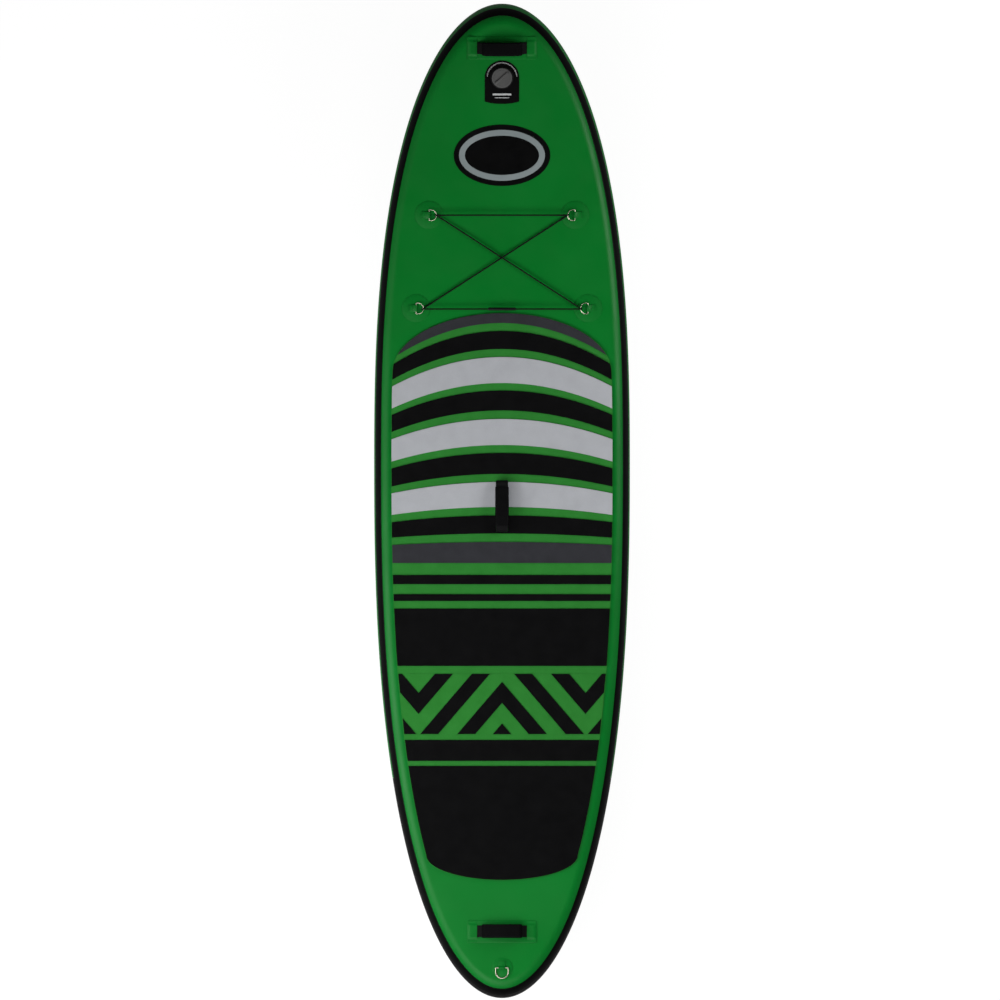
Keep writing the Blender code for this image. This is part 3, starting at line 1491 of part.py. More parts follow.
def make_centre_fin(low):
    # Blade, tab and lug in one moulding; the pin lies across the tab, the screw in the lug
    frame = fin_frame()
    tab_wide = SLOT_WIDTH - 2 * SLOT_CLEARANCE
    tab_top = low + SLOT_DEPTH - SLOT_CLEARANCE
    back = -TAB_LENGTH / 2 - TAB_LUG / 2
    front = TAB_LENGTH / 2 - TAB_LUG / 2
    root = low - GAP
    blade_front = front - FIN_ROOT_STEP
    blade = fin_blade("centre_fin", blade_front, back, FIN_DEPTH, FIN_SWEEP, FIN_THICKNESS, root, GLOSS_BLACK)
    sunk = root - FIN_ROOT_STEP / 4
    tab_size = (tab_wide, front - back, tab_top - sunk)
    boolean(blade, cutter(box("fin_tab", tab_size, (0, (front + back) / 2, (tab_top + sunk) / 2))), "UNION")
    groove = low + GROOVE_MIDDLE
    lug_top = groove - GROOVE_HEIGHT / 2 - 2 * GAP
    lug_size = (tab_wide, TAB_LUG + FIN_ROOT_STEP, lug_top - root)
    lug = box("fin_lug", lug_size, (0, front + (TAB_LUG - FIN_ROOT_STEP) / 2, (lug_top + root) / 2))
    boolean(blade, cutter(lug), "UNION")
    screw_y = front + TAB_LUG / 2
    hole = rod("fin_screw_hole", SCREW_RADIUS + SCREW_CLEARANCE, 2 * SLOT_DEPTH, (0, screw_y, low), (0, 0, 1))
    boolean(blade, cutter(hole))
    pin_y = back + PIN_SET_IN
    pin_hole = rod("fin_pin_hole", PIN_RADIUS + GAP, 2 * GROOVE_WIDTH, (0, pin_y, groove), (1, 0, 0))
    boolean(blade, cutter(pin_hole))
    stand(smooth(replaced(blade, GLOSS_BLACK)), frame)
    length = GROOVE_WIDTH - 2 * GAP
    stand(rod("fin_pin", PIN_RADIUS, length, (0, pin_y, groove), (1, 0, 0), BRASS, 10), frame)
    nut = box("fin_nut_plate", (length, NUT_PLATE_LENGTH, NUT_PLATE_HEIGHT), (0, screw_y, groove), BRASS)
    thread = rod("fin_nut_hole", SCREW_RADIUS + GAP, 4 * NUT_PLATE_HEIGHT, (0, screw_y, groove), (0, 0, 1))
    boolean(nut, cutter(thread))
    stand(replaced(nut, BRASS), frame)
    knob_top = root - GAP
    shaft_top = groove + SCREW_PAST_NUT
    profile = [
        (0, shaft_top), (SCREW_RADIUS, shaft_top), (SCREW_RADIUS, knob_top), (KNOB_RADIUS, knob_top),
        (KNOB_RADIUS, knob_top - KNOB_HEIGHT), (0, knob_top - KNOB_HEIGHT),
    ]
    screw = turned("fin_screw", profile, BRASS, 12)
    stand(screw, frame @ Matrix.Translation((0, screw_y, 0)))


def make_side_fins():
    y = plan_y(SIDE_FIN_FROM_NOSE)
    wide, long_side, sheet = SIDE_FLANGE
    half = SIDE_FIN_BASE / 2
    middle = -GAP - sheet / 2
    for name, side in (("right_side_fin", 1), ("left_side_fin", -1)):
        flange = box(name, (wide, long_side, sheet), (0, -SIDE_FLANGE_BACK, middle))
        blade = fin_blade(
            f"{name}_blade", half, -half, SIDE_FIN_DEPTH, SIDE_FIN_SWEEP, SIDE_FIN_THICKNESS, middle,
            GLOSS_BLACK,
        )
        boolean(flange, cutter(blade), "UNION")
        part = smooth(replaced(flange, GLOSS_BLACK))
        stand(part, seat(side * SIDE_FIN_X * CROSSWISE, y, -HALF))


def main():
    make_skins()
    make_rails()
    make_seam_tapes()
    make_core()
    make_pad()
    make_badge()
    make_valve()
    make_handles()
    make_rings()
    make_bungee()
    low = make_fin_box()
    make_centre_fin(low)
    make_side_fins()


main()
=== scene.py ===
import math

import bmesh
import bpy
from mathutils import Matrix, Vector


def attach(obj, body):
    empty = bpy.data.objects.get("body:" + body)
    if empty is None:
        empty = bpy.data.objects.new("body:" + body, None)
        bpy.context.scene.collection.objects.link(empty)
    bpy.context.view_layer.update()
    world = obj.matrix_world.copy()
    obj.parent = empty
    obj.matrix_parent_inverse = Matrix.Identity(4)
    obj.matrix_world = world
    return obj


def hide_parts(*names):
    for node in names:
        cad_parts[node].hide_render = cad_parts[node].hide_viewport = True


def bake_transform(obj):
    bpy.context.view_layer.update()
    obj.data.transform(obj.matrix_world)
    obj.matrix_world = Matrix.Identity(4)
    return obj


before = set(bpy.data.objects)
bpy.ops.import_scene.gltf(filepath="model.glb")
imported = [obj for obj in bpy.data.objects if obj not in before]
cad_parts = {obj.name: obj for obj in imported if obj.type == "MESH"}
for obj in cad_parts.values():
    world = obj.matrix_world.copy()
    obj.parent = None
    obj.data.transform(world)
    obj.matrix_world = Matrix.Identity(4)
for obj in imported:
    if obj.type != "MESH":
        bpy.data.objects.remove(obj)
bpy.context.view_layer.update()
print("the packed board is loaded")

scene = bpy.context.scene
scene.view_settings.view_transform = "Standard"


def newObject(name, data):
    obj = bpy.data.objects.new(name, data)
    scene.collection.objects.link(obj)
    return obj


# Camera and light

cameraSettings = {"frameSide": 3.2216, "place": (-0.00644, 0.00385, 2.5), "clipEnd": 50}

cameraData = bpy.data.cameras.new("lookDownCamera")
cameraData.type = "ORTHO"
cameraData.ortho_scale = cameraSettings["frameSide"]
cameraData.clip_end = cameraSettings["clipEnd"]
scene.camera = newObject("lookDownCamera", cameraData)
scene.camera.location = cameraSettings["place"]

lampSettings = {
    # name: place, aimed at, size, power
    "tailSoftbox": ((-0.7, -2.8, 3.2), (0, -0.9, 0.2), (3.4, 2.4), 95),
    "leftSoftbox": ((-3.6, -0.2, 3.0), (0, 0.0, 0.2), (1.2, 4.6), 9),
    "rightSoftbox": ((3.6, 0.9, 3.2), (0, 0.3, 0.2), (1.2, 3.4), 4),
    "noseSoftbox": ((0.8, 4.6, 3.0), (0, 0.8, 0.3), (2.6, 1.2), 1),
    "leftStrip": ((-2.3, -0.95, 1.9), (-0.38, -0.90, 0.3), (1.9, 1.5), 56),
    "rightStrip": ((2.1, 0.75, 1.8), (0.35, 0.65, 0.3), (1.3, 1.2), 34),
}

for lampName, (lampPlace, lampTarget, lampSize, power) in lampSettings.items():
    lampData = bpy.data.lights.new(lampName, "AREA")
    lampData.shape = "RECTANGLE"
    lampData.size, lampData.size_y = lampSize
    lampData.energy = power
    lamp = newObject(lampName, lampData)
    lamp.location = lampPlace
    lamp.rotation_euler = (Vector(lampTarget) - Vector(lampPlace)).to_track_quat("-Z", "Y").to_euler()
    lamp.visible_camera = False


# Node helpers, for materials and for geometry trees alike


def feed(tree, socket, value):
    # a link where a socket is given, or else a plain value
    if isinstance(value, bpy.types.NodeSocket):
        tree.links.new(value, socket)
    elif value is not None:
        socket.default_value = value


def addNode(tree, kind, inputs=None, **settings):
    # inputs: a socket or a plain value for each input, by name or number
    node = tree.nodes.new(kind)
    for key, value in settings.items():
        setattr(node, key, value)
    for key, value in (inputs or {}).items():
        feed(tree, node.inputs[key], value)
    return node


def output(tree, kind, inputs=None, **settings):
    return addNode(tree, kind, inputs, **settings).outputs[0]


def calc(tree, operation, *values):
    return output(tree, "ShaderNodeMath", dict(enumerate(values)), operation=operation)


def separate(tree, point):
    return addNode(tree, "ShaderNodeSeparateXYZ", {0: point}).outputs


def combine(tree, *values):
    return output(tree, "ShaderNodeCombineXYZ", dict(enumerate(values)))


# World and floor: the room is bright at its sides and dim overhead, so a level deck keeps its colour

roomSettings = {
    "side": 0.25, "overhead": 0.03, "fadeFrom": 0.25, "fadeTo": 0.95, "floorColor": (0.9, 0.9, 0.9, 1),
    "floorSide": 40.0, "floorGlow": 0.86, "floorWhite": 1.08, "floorMirrored": 0.16,
}


def emptied(owner):
    owner.use_nodes = True
    owner.node_tree.nodes.clear()
    return owner.node_tree


def seenRays(tree):
    # what the camera sees, straight or through something clear, and what is mirrored
    rays = addNode(tree, "ShaderNodeLightPath").outputs
    return calc(tree, "MAXIMUM", rays["Is Camera Ray"], rays["Is Transmission Ray"]), rays["Is Glossy Ray"]


def makeRoom():
    scene.world = scene.world or bpy.data.worlds.new("softRoom")
    tree = emptied(scene.world)
    height = separate(tree, addNode(tree, "ShaderNodeTexCoord").outputs["Generated"])["Z"]
    fade = {
        "Value": height, "From Min": roomSettings["fadeFrom"], "From Max": roomSettings["fadeTo"],
        "To Min": roomSettings["side"], "To Max": roomSettings["overhead"],
    }
    strength = output(tree, "ShaderNodeMapRange", fade, interpolation_type="SMOOTHSTEP")
    light = output(tree, "ShaderNodeBackground", {"Strength": strength})
    white = output(tree, "ShaderNodeBackground", {"Color": (1, 1, 1, 1)})
    mixed = output(tree, "ShaderNodeMixShader", {0: seenRays(tree)[0], 1: light, 2: white})
    addNode(tree, "ShaderNodeOutputWorld", {0: mixed})


def makeFloor():
    mesh = bpy.data.meshes.new("paleFloor")
    reach = roomSettings["floorSide"] / 2
    square = [(-reach, -reach, 0), (reach, -reach, 0), (reach, reach, 0), (-reach, reach, 0)]
    mesh.from_pydata(square, [], [(0, 1, 2, 3)])
    material = bpy.data.materials.new("floorWhite")
    tree = emptied(material)
    seen, reflected = seenRays(tree)
    matte = output(tree, "ShaderNodeBsdfDiffuse", {"Color": roomSettings["floorColor"]})
    dimming = roomSettings["floorMirrored"] - roomSettings["floorWhite"]
    strength = calc(tree, "MULTIPLY_ADD", reflected, dimming, roomSettings["floorWhite"])
    glow = output(tree, "ShaderNodeEmission", {"Strength": strength})
    share = calc(tree, "MULTIPLY", calc(tree, "MAXIMUM", seen, reflected), roomSettings["floorGlow"])
    upper = output(tree, "ShaderNodeMixShader", {0: share, 1: matte, 2: glow})
    under = addNode(tree, "ShaderNodeNewGeometry").outputs["Backfacing"]
    clear = output(tree, "ShaderNodeBsdfTransparent")
    surface = output(tree, "ShaderNodeMixShader", {0: under, 1: upper, 2: clear})
    addNode(tree, "ShaderNodeOutputMaterial", {0: surface})
    mesh.materials.append(material)
    newObject("paleFloor", mesh)


makeRoom()
makeFloor()
print("camera, light and floor are ready")


# Materials: what moves the shade, what moves the roughness, and the layers of bump


def startMaterial(name):
    material = bpy.data.materials.new(name)
    material.use_nodes = True
    tree = material.node_tree
    return material, tree, addNode(tree, "ShaderNodeTexCoord").outputs["Object"]


def endMaterial(material, shades, shade, roughness, wear, layers, specular=0.5, metallic=0.0):
    # each layer: height, strength, distance
    tree = material.node_tree
    first, second = [(*color, 1) for color in shades]
    mix = addNode(tree, "ShaderNodeMix", {"Factor": shade, 6: first, 7: second}, data_type="RGBA")
    normal = None
    for height, strength, distance in layers:
        inputs = {"Strength": strength, "Distance": distance, "Height": height, "Normal": normal}
        normal = output(tree, "ShaderNodeBump", inputs)
    shader = tree.nodes["Principled BSDF"].inputs
    plain = {"Base Color": first, "Roughness": roughness, "Metallic": metallic}
    plain["Specular IOR Level"] = specular
    for inputs in (plain, {"Base Color": mix.outputs[2], "Roughness": wear, "Normal": normal}):
        for key, value in inputs.items():
            feed(tree, shader[key], value)
    material.diffuse_color = first
    return material


def noise(tree, point, scale, detail=2.0):
    return output(tree, "ShaderNodeTexNoise", {"Vector": point, "Scale": scale, "Detail": detail})


def spread(tree, value, low=0.0, high=1.0, fromLow=0.3, fromHigh=0.7):
    inputs = {"Value": value, "From Min": fromLow, "From Max": fromHigh, "To Min": low, "To Max": high}
    return output(tree, "ShaderNodeMapRange", inputs)


def wave(tree, value, pitch, turns=2):
    return calc(tree, "SINE", calc(tree, "MULTIPLY", value, turns * math.pi / pitch))


clothLook = {
    "patches": 3.0, "wear": (14.0, -0.04, 0.05), "swell": 9.0, "swellBump": (0.25, 0.0012), "yarn": 0.006,
    "yarnBump": (0.10, 0.00006), "grain": 900.0, "grainReach": 0.00008,
}


def coatedCloth(name, shades, roughness, specular, grainHeight):
    # PVC over woven drop-stitch: faint yarn dimples on a square grid, fine calender grain, soft patches
    look = clothLook
    material, tree, point = startMaterial(name)
    shade = spread(tree, noise(tree, point, look["patches"], 3.0))
    x, y, _ = separate(tree, point)
    yarns = calc(tree, "MULTIPLY", wave(tree, y, look["yarn"]), wave(tree, x, look["yarn"]))
    scale, down, up = look["wear"]
    wear = spread(tree, noise(tree, point, scale, 3.0), roughness + down, roughness + up)
    layers = [
        (noise(tree, point, look["swell"]), *look["swellBump"]), (yarns, *look["yarnBump"]),
        (noise(tree, point, look["grain"]), grainHeight, look["grainReach"]),
    ]
    return endMaterial(material, shades, shade, roughness, wear, layers, specular)


foamLook = {
    "cloud": (22.0, 4.0, 0.55), "speck": (420.0, 2.0, 0.45), "wear": (-0.05, 0.07), "groovePitch": 0.009,
    "grooveSlant": 0.6, "grooveShare": 0.22, "grooveBump": (0.35, 0.0003), "cells": 700.0,
    "cellBump": (0.4, 0.00025),
}


def evaFoam(name, shades, roughness=0.88, specular=0.07):
    # closed-cell foam: fine pores, brushed top, shallow crossed grooves
    look = foamLook
    material, tree, point = startMaterial(name)
    cloud, speck = [noise(tree, point, *look[key][:2]) for key in ("cloud", "speck")]
    sources = ((cloud, look["cloud"]), (speck, look["speck"]))
    parts = [calc(tree, "MULTIPLY", value, values[2]) for value, values in sources]
    shade = spread(tree, calc(tree, "ADD", *parts))
    x, y, _ = separate(tree, point)
    ridges = []
    for sign in (1, -1):
        slant = calc(tree, "ADD", y, calc(tree, "MULTIPLY", x, sign * look["grooveSlant"]))
        line = calc(tree, "ABSOLUTE", wave(tree, slant, look["groovePitch"], 1))
        ridges.append(spread(tree, line, 0.0, 1.0, 0.0, look["grooveShare"]))
    grooves = calc(tree, "MINIMUM", *ridges)
    cells = output(tree, "ShaderNodeTexVoronoi", {"Vector": point, "Scale": look["cells"]})
    down, up = look["wear"]
    wear = spread(tree, speck, roughness + down, min(1.0, roughness + up))
    layers = [(grooves, *look["grooveBump"]), (cells, *look["cellBump"])]
    return endMaterial(material, shades, shade, roughness, wear, layers, specular)


glossLook = {
    "patches": 8.0, "wear": (40.0, -0.05, 0.08), "swell": 25.0, "swellBump": (0.12, 0.0005),
    "grainReach": 0.00006,
}


def gloss(name, shades, roughness, specular=0.5, grain=1200.0, grainHeight=0.08):
    look = glossLook
    material, tree, point = startMaterial(name)
    shade = spread(tree, noise(tree, point, look["patches"], 3.0))
    scale, down, up = look["wear"]
    wear = spread(tree, noise(tree, point, scale, 3.0), roughness + down, roughness + up)
    layers = [
        (noise(tree, point, look["swell"]), *look["swellBump"]),
        (noise(tree, point, grain), grainHeight, look["grainReach"]),
    ]
    return endMaterial(material, shades, shade, roughness, wear, layers, specular)


metalLook = {
    "patches": 120.0, "drawn": (1.0, 0.12, 1.0), "scratch": 2600.0, "wear": (-0.07, 0.1),
    "bump": (0.12, 0.00004),
}


def metal(name, shades, roughness):
    # drawn wire or turned metal: fine scratches and slightly uneven gloss
    look = metalLook
    material, tree, point = startMaterial(name)
    shade = spread(tree, noise(tree, point, look["patches"], 3.0))
    stretched = output(tree, "ShaderNodeMapping", {"Vector": point, "Scale": look["drawn"]})
    lines = noise(tree, stretched, look["scratch"])
    down, up = look["wear"]
    wear = spread(tree, lines, roughness + down, roughness + up)
    return endMaterial(material, shades, shade, roughness, wear, [(lines, *look["bump"])], metallic=1.0)


wovenLook = {
    "specular": 0.14, "fuzz": 1500.0, "wear": (-0.08, 0.1), "threadBump": 0.7, "fuzzBump": (0.25, 0.0001),
}


def wovenCloth(name, shades, pitch, roughness=0.8, rise=0.00025):
    # webbing and cord cover: over and under threads laid along the piece's own UV, which is in metres
    look = wovenLook
    material, tree, point = startMaterial(name)
    turns = separate(tree, addNode(tree, "ShaderNodeTexCoord").outputs["UV"])
    along, across = [calc(tree, "MULTIPLY", turns[axis], math.pi / pitch) for axis in ("X", "Y")]
    ways = [calc(tree, "SINE", calc(tree, operation, along, across)) for operation in ("ADD", "SUBTRACT")]
    threads = calc(tree, "MULTIPLY", *ways)
    fuzz = noise(tree, point, look["fuzz"])
    # the colour follows the threads' relief: painted shade in the hollows between threads and a painted
    # highlight on the raised ones
    shade = spread(tree, threads, 0.0, 1.0, -1.0, 1.0)
    down, up = look["wear"]
    wear = spread(tree, fuzz, roughness + down, roughness + up)
    layers = [(threads, look["threadBump"], rise), (fuzz, *look["fuzzBump"])]
    return endMaterial(material, shades, shade, roughness, wear, layers, look["specular"])


pvcGreen = coatedCloth("pvcGreen", ((0.0008, 0.140, 0.0145), (0.0014, 0.162, 0.018)), 0.38, 0.14, 0.10)
patchGreen = coatedCloth("patchGreen", ((0.0008, 0.133, 0.0140), (0.0014, 0.152, 0.017)), 0.42, 0.12, 0.14)
pvcBlack = gloss("pvcBlack", ((0.0010, 0.0011, 0.0011), (0.0018, 0.0019, 0.0020)), 0.34, 0.07)
sheetBlack = gloss("sheetBlack", ((0.0014, 0.0012, 0.0013), (0.0024, 0.0022, 0.0023)), 0.50, 0.05)
badgeBlack = gloss("badgeBlack", ((0.0014, 0.0014, 0.0015), (0.0024, 0.0024, 0.0026)), 0.45, 0.05)
badgeGrey = gloss("badgeGrey", ((0.20, 0.235, 0.24), (0.235, 0.27, 0.275)), 0.4, 0.4)
tickGrey = gloss("tickGrey", ((0.42, 0.43, 0.43), (0.50, 0.51, 0.51)), 0.45, 0.4)
foams = {
    "green": evaFoam("foamGreen", ((0.019, 0.160, 0.021), (0.026, 0.195, 0.029))),
    "black": evaFoam("foamBlack", ((0.0030, 0.0030, 0.0032), (0.0052, 0.0052, 0.0055)), specular=0.02),
    "pale": evaFoam("foamPale", ((0.345, 0.355, 0.375), (0.395, 0.405, 0.430))),
    "dark": evaFoam("foamDark", ((0.024, 0.024, 0.028), (0.032, 0.033, 0.038))),
}
gripFoam = evaFoam("gripFoam", ((0.0016, 0.0016, 0.0019), (0.0032, 0.0032, 0.0036)), 0.82, 0.05)
webbingBlack = wovenCloth("webbingBlack", ((0.0012, 0.0012, 0.0014), (0.0034, 0.0034, 0.0038)), 0.0016)
cordBlack = wovenCloth("cordBlack", ((0.0014, 0.0018, 0.0014), (0.0040, 0.0046, 0.0040)), 0.0011, 0.7)
threadBlack = wovenCloth("threadBlack", ((0.007, 0.007, 0.0075), (0.014, 0.014, 0.015)), 0.0006, 0.6, 0.0001)
yarnWhite = wovenCloth("yarnWhite", ((0.58, 0.58, 0.56), (0.72, 0.72, 0.70)), 0.001, 0.85)
mouldedShades = ((0.0028, 0.0028, 0.0031), (0.0046, 0.0046, 0.0050))
mouldedBlack = gloss("mouldedBlack", mouldedShades, 0.42, 0.16, 2200.0, 0.2)
capGrey = gloss("capGrey", ((0.068, 0.068, 0.067), (0.088, 0.088, 0.086)), 0.5, 0.3, 1800.0, 0.22)
rubberBlack = gloss("rubberBlack", ((0.006, 0.006, 0.006), (0.010, 0.010, 0.010)), 0.7, 0.25, 1500.0, 0.2)
steelWire = metal("steelWire", ((0.50, 0.49, 0.38), (0.60, 0.58, 0.46)), 0.26)
brassTurned = metal("brassTurned", ((0.66, 0.47, 0.19), (0.76, 0.56, 0.25)), 0.3)
print("materials are ready")


# The board's own shape: plan outline, rocker and the round of its rail, in metres

boardShape = {
    "halfLength": 1.6, "half": 0.075, "halfWidth": 0.412, "widestY": 0.1165, "noseReach": 1.4835,
    "noseFullness": 2.60, "tailReach": 1.7165, "tailFullness": 2.474, "railReach": 0.052, "lift": 0.2421,
    "noseRise": 0.160, "noseFrom": 0.100, "noseRun": 1.500, "tailRise": 0.018, "tailFrom": -1.300,
    "tailRun": 0.300, "skin": 0.0015,
    "skinAngles": (40.75, 43, 46, 50, 54, 58, 62, 66, 71, 76, 81, 85.5, 90), "flat": (0.66, 0.33, 0.0),
    "railWall": 0.0018, "railAngle": 40.25, "blackRailFrom": 2.492, "railGap": 0.008, "stations": 150,
    "tape": 0.0010, "tapeAngles": (25.0, 56.0), "tapeFade": ((0.0, 0.25), (0.7, 0.9)), "gap": 0.0003,
}
half = boardShape["half"]
gap = boardShape["gap"]


def rocker(y):
    # rise of the middle plane and its slope
    ahead = max(y - boardShape["noseFrom"], 0) / boardShape["noseRun"]
    behind = max(boardShape["tailFrom"] - y, 0) / boardShape["tailRun"]
    rise = boardShape["noseRise"] * ahead ** 2 + boardShape["tailRise"] * behind ** 2
    slope = 2 * boardShape["noseRise"] * ahead / boardShape["noseRun"]
    return rise, slope - 2 * boardShape["tailRise"] * behind / boardShape["tailRun"]


def lay(x, y, height):
    rise, slope = rocker(y)
    angle = math.atan(slope)
    return Vector((x, y - math.sin(angle) * height, boardShape["lift"] + rise + math.cos(angle) * height))


def seat(x, y, height, yaw=0.0, reach=0.0005):
    ahead = lay(x, y + reach, height) - lay(x, y - reach, height)
    tilt = math.atan2(ahead.z, ahead.y)
    turned = Matrix.Rotation(tilt, 4, "X") @ Matrix.Rotation(yaw, 4, "Z")
    return Matrix.Translation(lay(x, y, height)) @ turned


def planY(distance, height=0.0):
    # plan y of what lies this far from the nose, seen square on
    wanted = boardShape["halfLength"] - distance
    y = wanted
    for _ in range(6):
        y += wanted - lay(0, y, height).y
    return y


def rim(angle):
    # right-hand rim point and inward normal: 0 at the nose, 180 at the tail
    turn = math.radians(90 - angle)
    end, sign = ("nose", 1) if turn >= 0 else ("tail", -1)
    reach, fullness, wide = boardShape[end + "Reach"], boardShape[end + "Fullness"], boardShape["halfWidth"]
    sine = abs(math.sin(turn))
    point = Vector((wide * math.cos(turn), boardShape["widestY"] + sign * reach * sine ** (2 / fullness)))
    if abs(turn) < 0.0001:
        return point, Vector((-1, 0))
    steep = reach * (2 / fullness) * sine ** (2 / fullness - 1) * math.cos(turn)
    tangent = Vector((-wide * math.sin(turn), steep)).normalized()
    return point, Vector((-tangent.y, tangent.x))


def rimAngle(y):
    ahead = y - boardShape["widestY"]
    end, sign = ("nose", -1) if ahead >= 0 else ("tail", 1)
    share = abs(ahead) / boardShape[end + "Reach"]
    return 90 + sign * math.degrees(math.asin(share ** (boardShape[end + "Fullness"] / 2)))


def between(low, high, isLow, rounds):
    # halves the range again and again
    for _ in range(rounds):
        middle = (low + high) / 2
        low, high = (middle, high) if isLow(middle) else (low, middle)
    return (low + high) / 2


def insetHalfWidth(y, inset):
    def inside(angle):
        point, inward = rim(angle)
        return point.x + inward.x * inset, point.y + inward.y * inset

    return inside(between(0.0, 180.0, lambda angle: inside(angle)[1] > y, 32))[0]


def sectionPoint(degrees, outward=0.0):
    # how far in from the rim, and how high, on the rail's round
    angle = math.radians(degrees)
    normal = Vector((math.cos(angle) / boardShape["railReach"], math.sin(angle) / half)).normalized()
    inward = boardShape["railReach"] * (1 - math.cos(angle)) - normal.x * outward
    return inward, half * math.sin(angle) + normal.y * outward


# Geometry trees: one lays a flat piece along the rocker, the others repeat small things


def keyOf(label):
    plain = label.replace(" ", "")
    return plain[:1].lower() + plain[1:]


def startTree(name, numbers):
    tree = bpy.data.node_groups.new(name, "GeometryNodeTree")
    kinds = [("Geometry", "Geometry"), *((label, "Float") for label in numbers), ("Material", "Material")]
    for label, kind in kinds:
        socket = tree.interface.new_socket(label, in_out="INPUT", socket_type="NodeSocket" + kind)
        if kind == "Float":
            socket.default_value = numbers[label]
    tree.interface.new_socket("Geometry", in_out="OUTPUT", socket_type="NodeSocketGeometry")
    return tree, addNode(tree, "NodeGroupInput").outputs


def endTree(tree, given, geometry):
    real = output(tree, "GeometryNodeRealizeInstances", {0: geometry})
    painted = output(tree, "GeometryNodeSetMaterial", {"Geometry": real, "Material": given["Material"]})
    addNode(tree, "NodeGroupOutput", {0: painted})
    return tree


def layTree():
    # moves every point from the flat plan onto the bent board, square to its middle plane
    labels = ("Nose Rise", "Nose From", "Nose Run", "Tail Rise", "Tail From", "Tail Run", "Lift")
    tree, given = startTree("layAlongRocker", {label: boardShape[keyOf(label)] for label in labels})
    x, y, height = separate(tree, output(tree, "GeometryNodeInputPosition"))
    rises, slopes = [], []
    for end, larger, smaller in (("Nose", y, given["Nose From"]), ("Tail", given["Tail From"], y)):
        past = calc(tree, "MAXIMUM", calc(tree, "SUBTRACT", larger, smaller), 0.0)
        share = calc(tree, "DIVIDE", past, given[end + " Run"])
        rises.append(calc(tree, "MULTIPLY", given[end + " Rise"], calc(tree, "MULTIPLY", share, share)))
        steep = calc(tree, "DIVIDE", given[end + " Rise"], given[end + " Run"])
        slopes.append(calc(tree, "MULTIPLY", steep, share))
    slope = calc(tree, "MULTIPLY", calc(tree, "SUBTRACT", *slopes), 2.0)
    square = combine(tree, 0.0, calc(tree, "MULTIPLY", slope, -1.0), 1.0)
    normal = output(tree, "ShaderNodeVectorMath", {0: square}, operation="NORMALIZE")
    middle = combine(tree, x, y, calc(tree, "ADD", given["Lift"], calc(tree, "ADD", *rises)))
    rise = output(tree, "ShaderNodeVectorMath", {0: normal, "Scale": height}, operation="SCALE")
    place = output(tree, "ShaderNodeVectorMath", {0: middle, 1: rise}, operation="ADD")
    moved = output(tree, "GeometryNodeSetPosition", {"Geometry": given["Geometry"], "Position": place})
    return endTree(tree, given, moved)


rockerTree = layTree()


def evaluated(obj):
    graph = bpy.context.evaluated_depsgraph_get()
    ready = obj.evaluated_get(graph)
    return bpy.data.meshes.new_from_object(ready, preserve_all_data_layers=True, depsgraph=graph)


def takeEvaluated(obj):
    # the evaluated mesh takes the place of the object's own
    mesh = evaluated(obj)
    obj.modifiers.clear()
    old = obj.data
    obj.data = mesh
    bpy.data.meshes.remove(old)
    mesh.name = obj.name
    return obj


def bakeTree(obj, tree, **values):
    # the inputs go in by their socket's identifier
    modifier = obj.modifiers.new(tree.name, "NODES")
    modifier.node_group = tree
    for item in tree.interface.items_tree:
        if item.item_type == "SOCKET" and item.in_out == "INPUT" and keyOf(item.name) in values:
            modifier[item.identifier] = values[keyOf(item.name)]
    return takeEvaluated(obj)


# Mesh helpers


def shapeOf(mesh):
    shape = bmesh.new()
    shape.from_mesh(mesh)
    return shape


def keepShape(shape, mesh):
    shape.to_mesh(mesh)
    shape.free()
    return mesh


def closeShape(name, shape, merge=0.00001):
    bmesh.ops.remove_doubles(shape, verts=shape.verts, dist=merge)
    bmesh.ops.dissolve_degenerate(shape, edges=shape.edges, dist=merge / 10)
    bmesh.ops.recalc_face_normals(shape, faces=shape.faces)
    return newObject(name, keepShape(shape, bpy.data.meshes.new(name)))


def strip(shape, first, second, closed=False):
    # faces between two rows of corners
    count = len(first)
    for i in range(count if closed else count - 1):
        after = (i + 1) % count
        shape.faces.new((first[i], first[after], second[after], second[i]))


def corners(shape, places):
    return [shape.verts.new(place) for place in places]


def loft(name, rings, closed=False):
    # rings of points joined one to the next; each ring is a closed loop
    shape = bmesh.new()
    made = [corners(shape, line) for line in rings]
    if closed:
        made.append(made[0])
    else:
        shape.faces.new(made[0])
        shape.faces.new(made[-1])
    for first, second in zip(made, made[1:]):
        strip(shape, first, second, closed=True)
    return closeShape(name, shape)


def boolean(obj, tool, operation="DIFFERENCE"):
    modifier = obj.modifiers.new("cut", "BOOLEAN")
    modifier.operation = operation
    modifier.solver = "EXACT"
    modifier.object = tool
    takeEvaluated(obj)
    bpy.data.objects.remove(tool)
    return obj


def boxAt(low, high):
    shape = bmesh.new()
    bmesh.ops.create_cube(shape, size=1)
    for vertex in shape.verts:
        vertex.co = [low[axis] if vertex.co[axis] < 0 else high[axis] for axis in range(3)]
    return closeShape("box", shape)


def polar(radius, degrees, tall=None):
    turn = math.radians(degrees)
    return radius * math.cos(turn), (radius if tall is None else tall) * math.sin(turn)


def lathe(name, profile, steps=96):
    # a closed outline of (radius, height) turned about Z; points on the axis become poles
    rings = [[(*polar(r, 360 * i / steps), z) for r, z in profile] for i in range(steps)]
    return loft(name, rings, closed=True)


def rod(radius, low, high, steps):
    return lathe("rod", [(0, low), (radius, low), (radius, high), (0, high)], steps)


def eased(share):
    share = max(0.0, min(1.0, share))
    return share * share * (3 - 2 * share)


def shares(count):
    return [i / count for i in range(count + 1)]


def mirrored(right):
    return right + [(-x, *rest) for x, *rest in right[::-1] if x > 0.0001]


def softEdges(obj, degrees=35):
    obj.data.shade_smooth()
    obj.data.set_sharp_from_angle(angle=math.radians(degrees))
    return obj


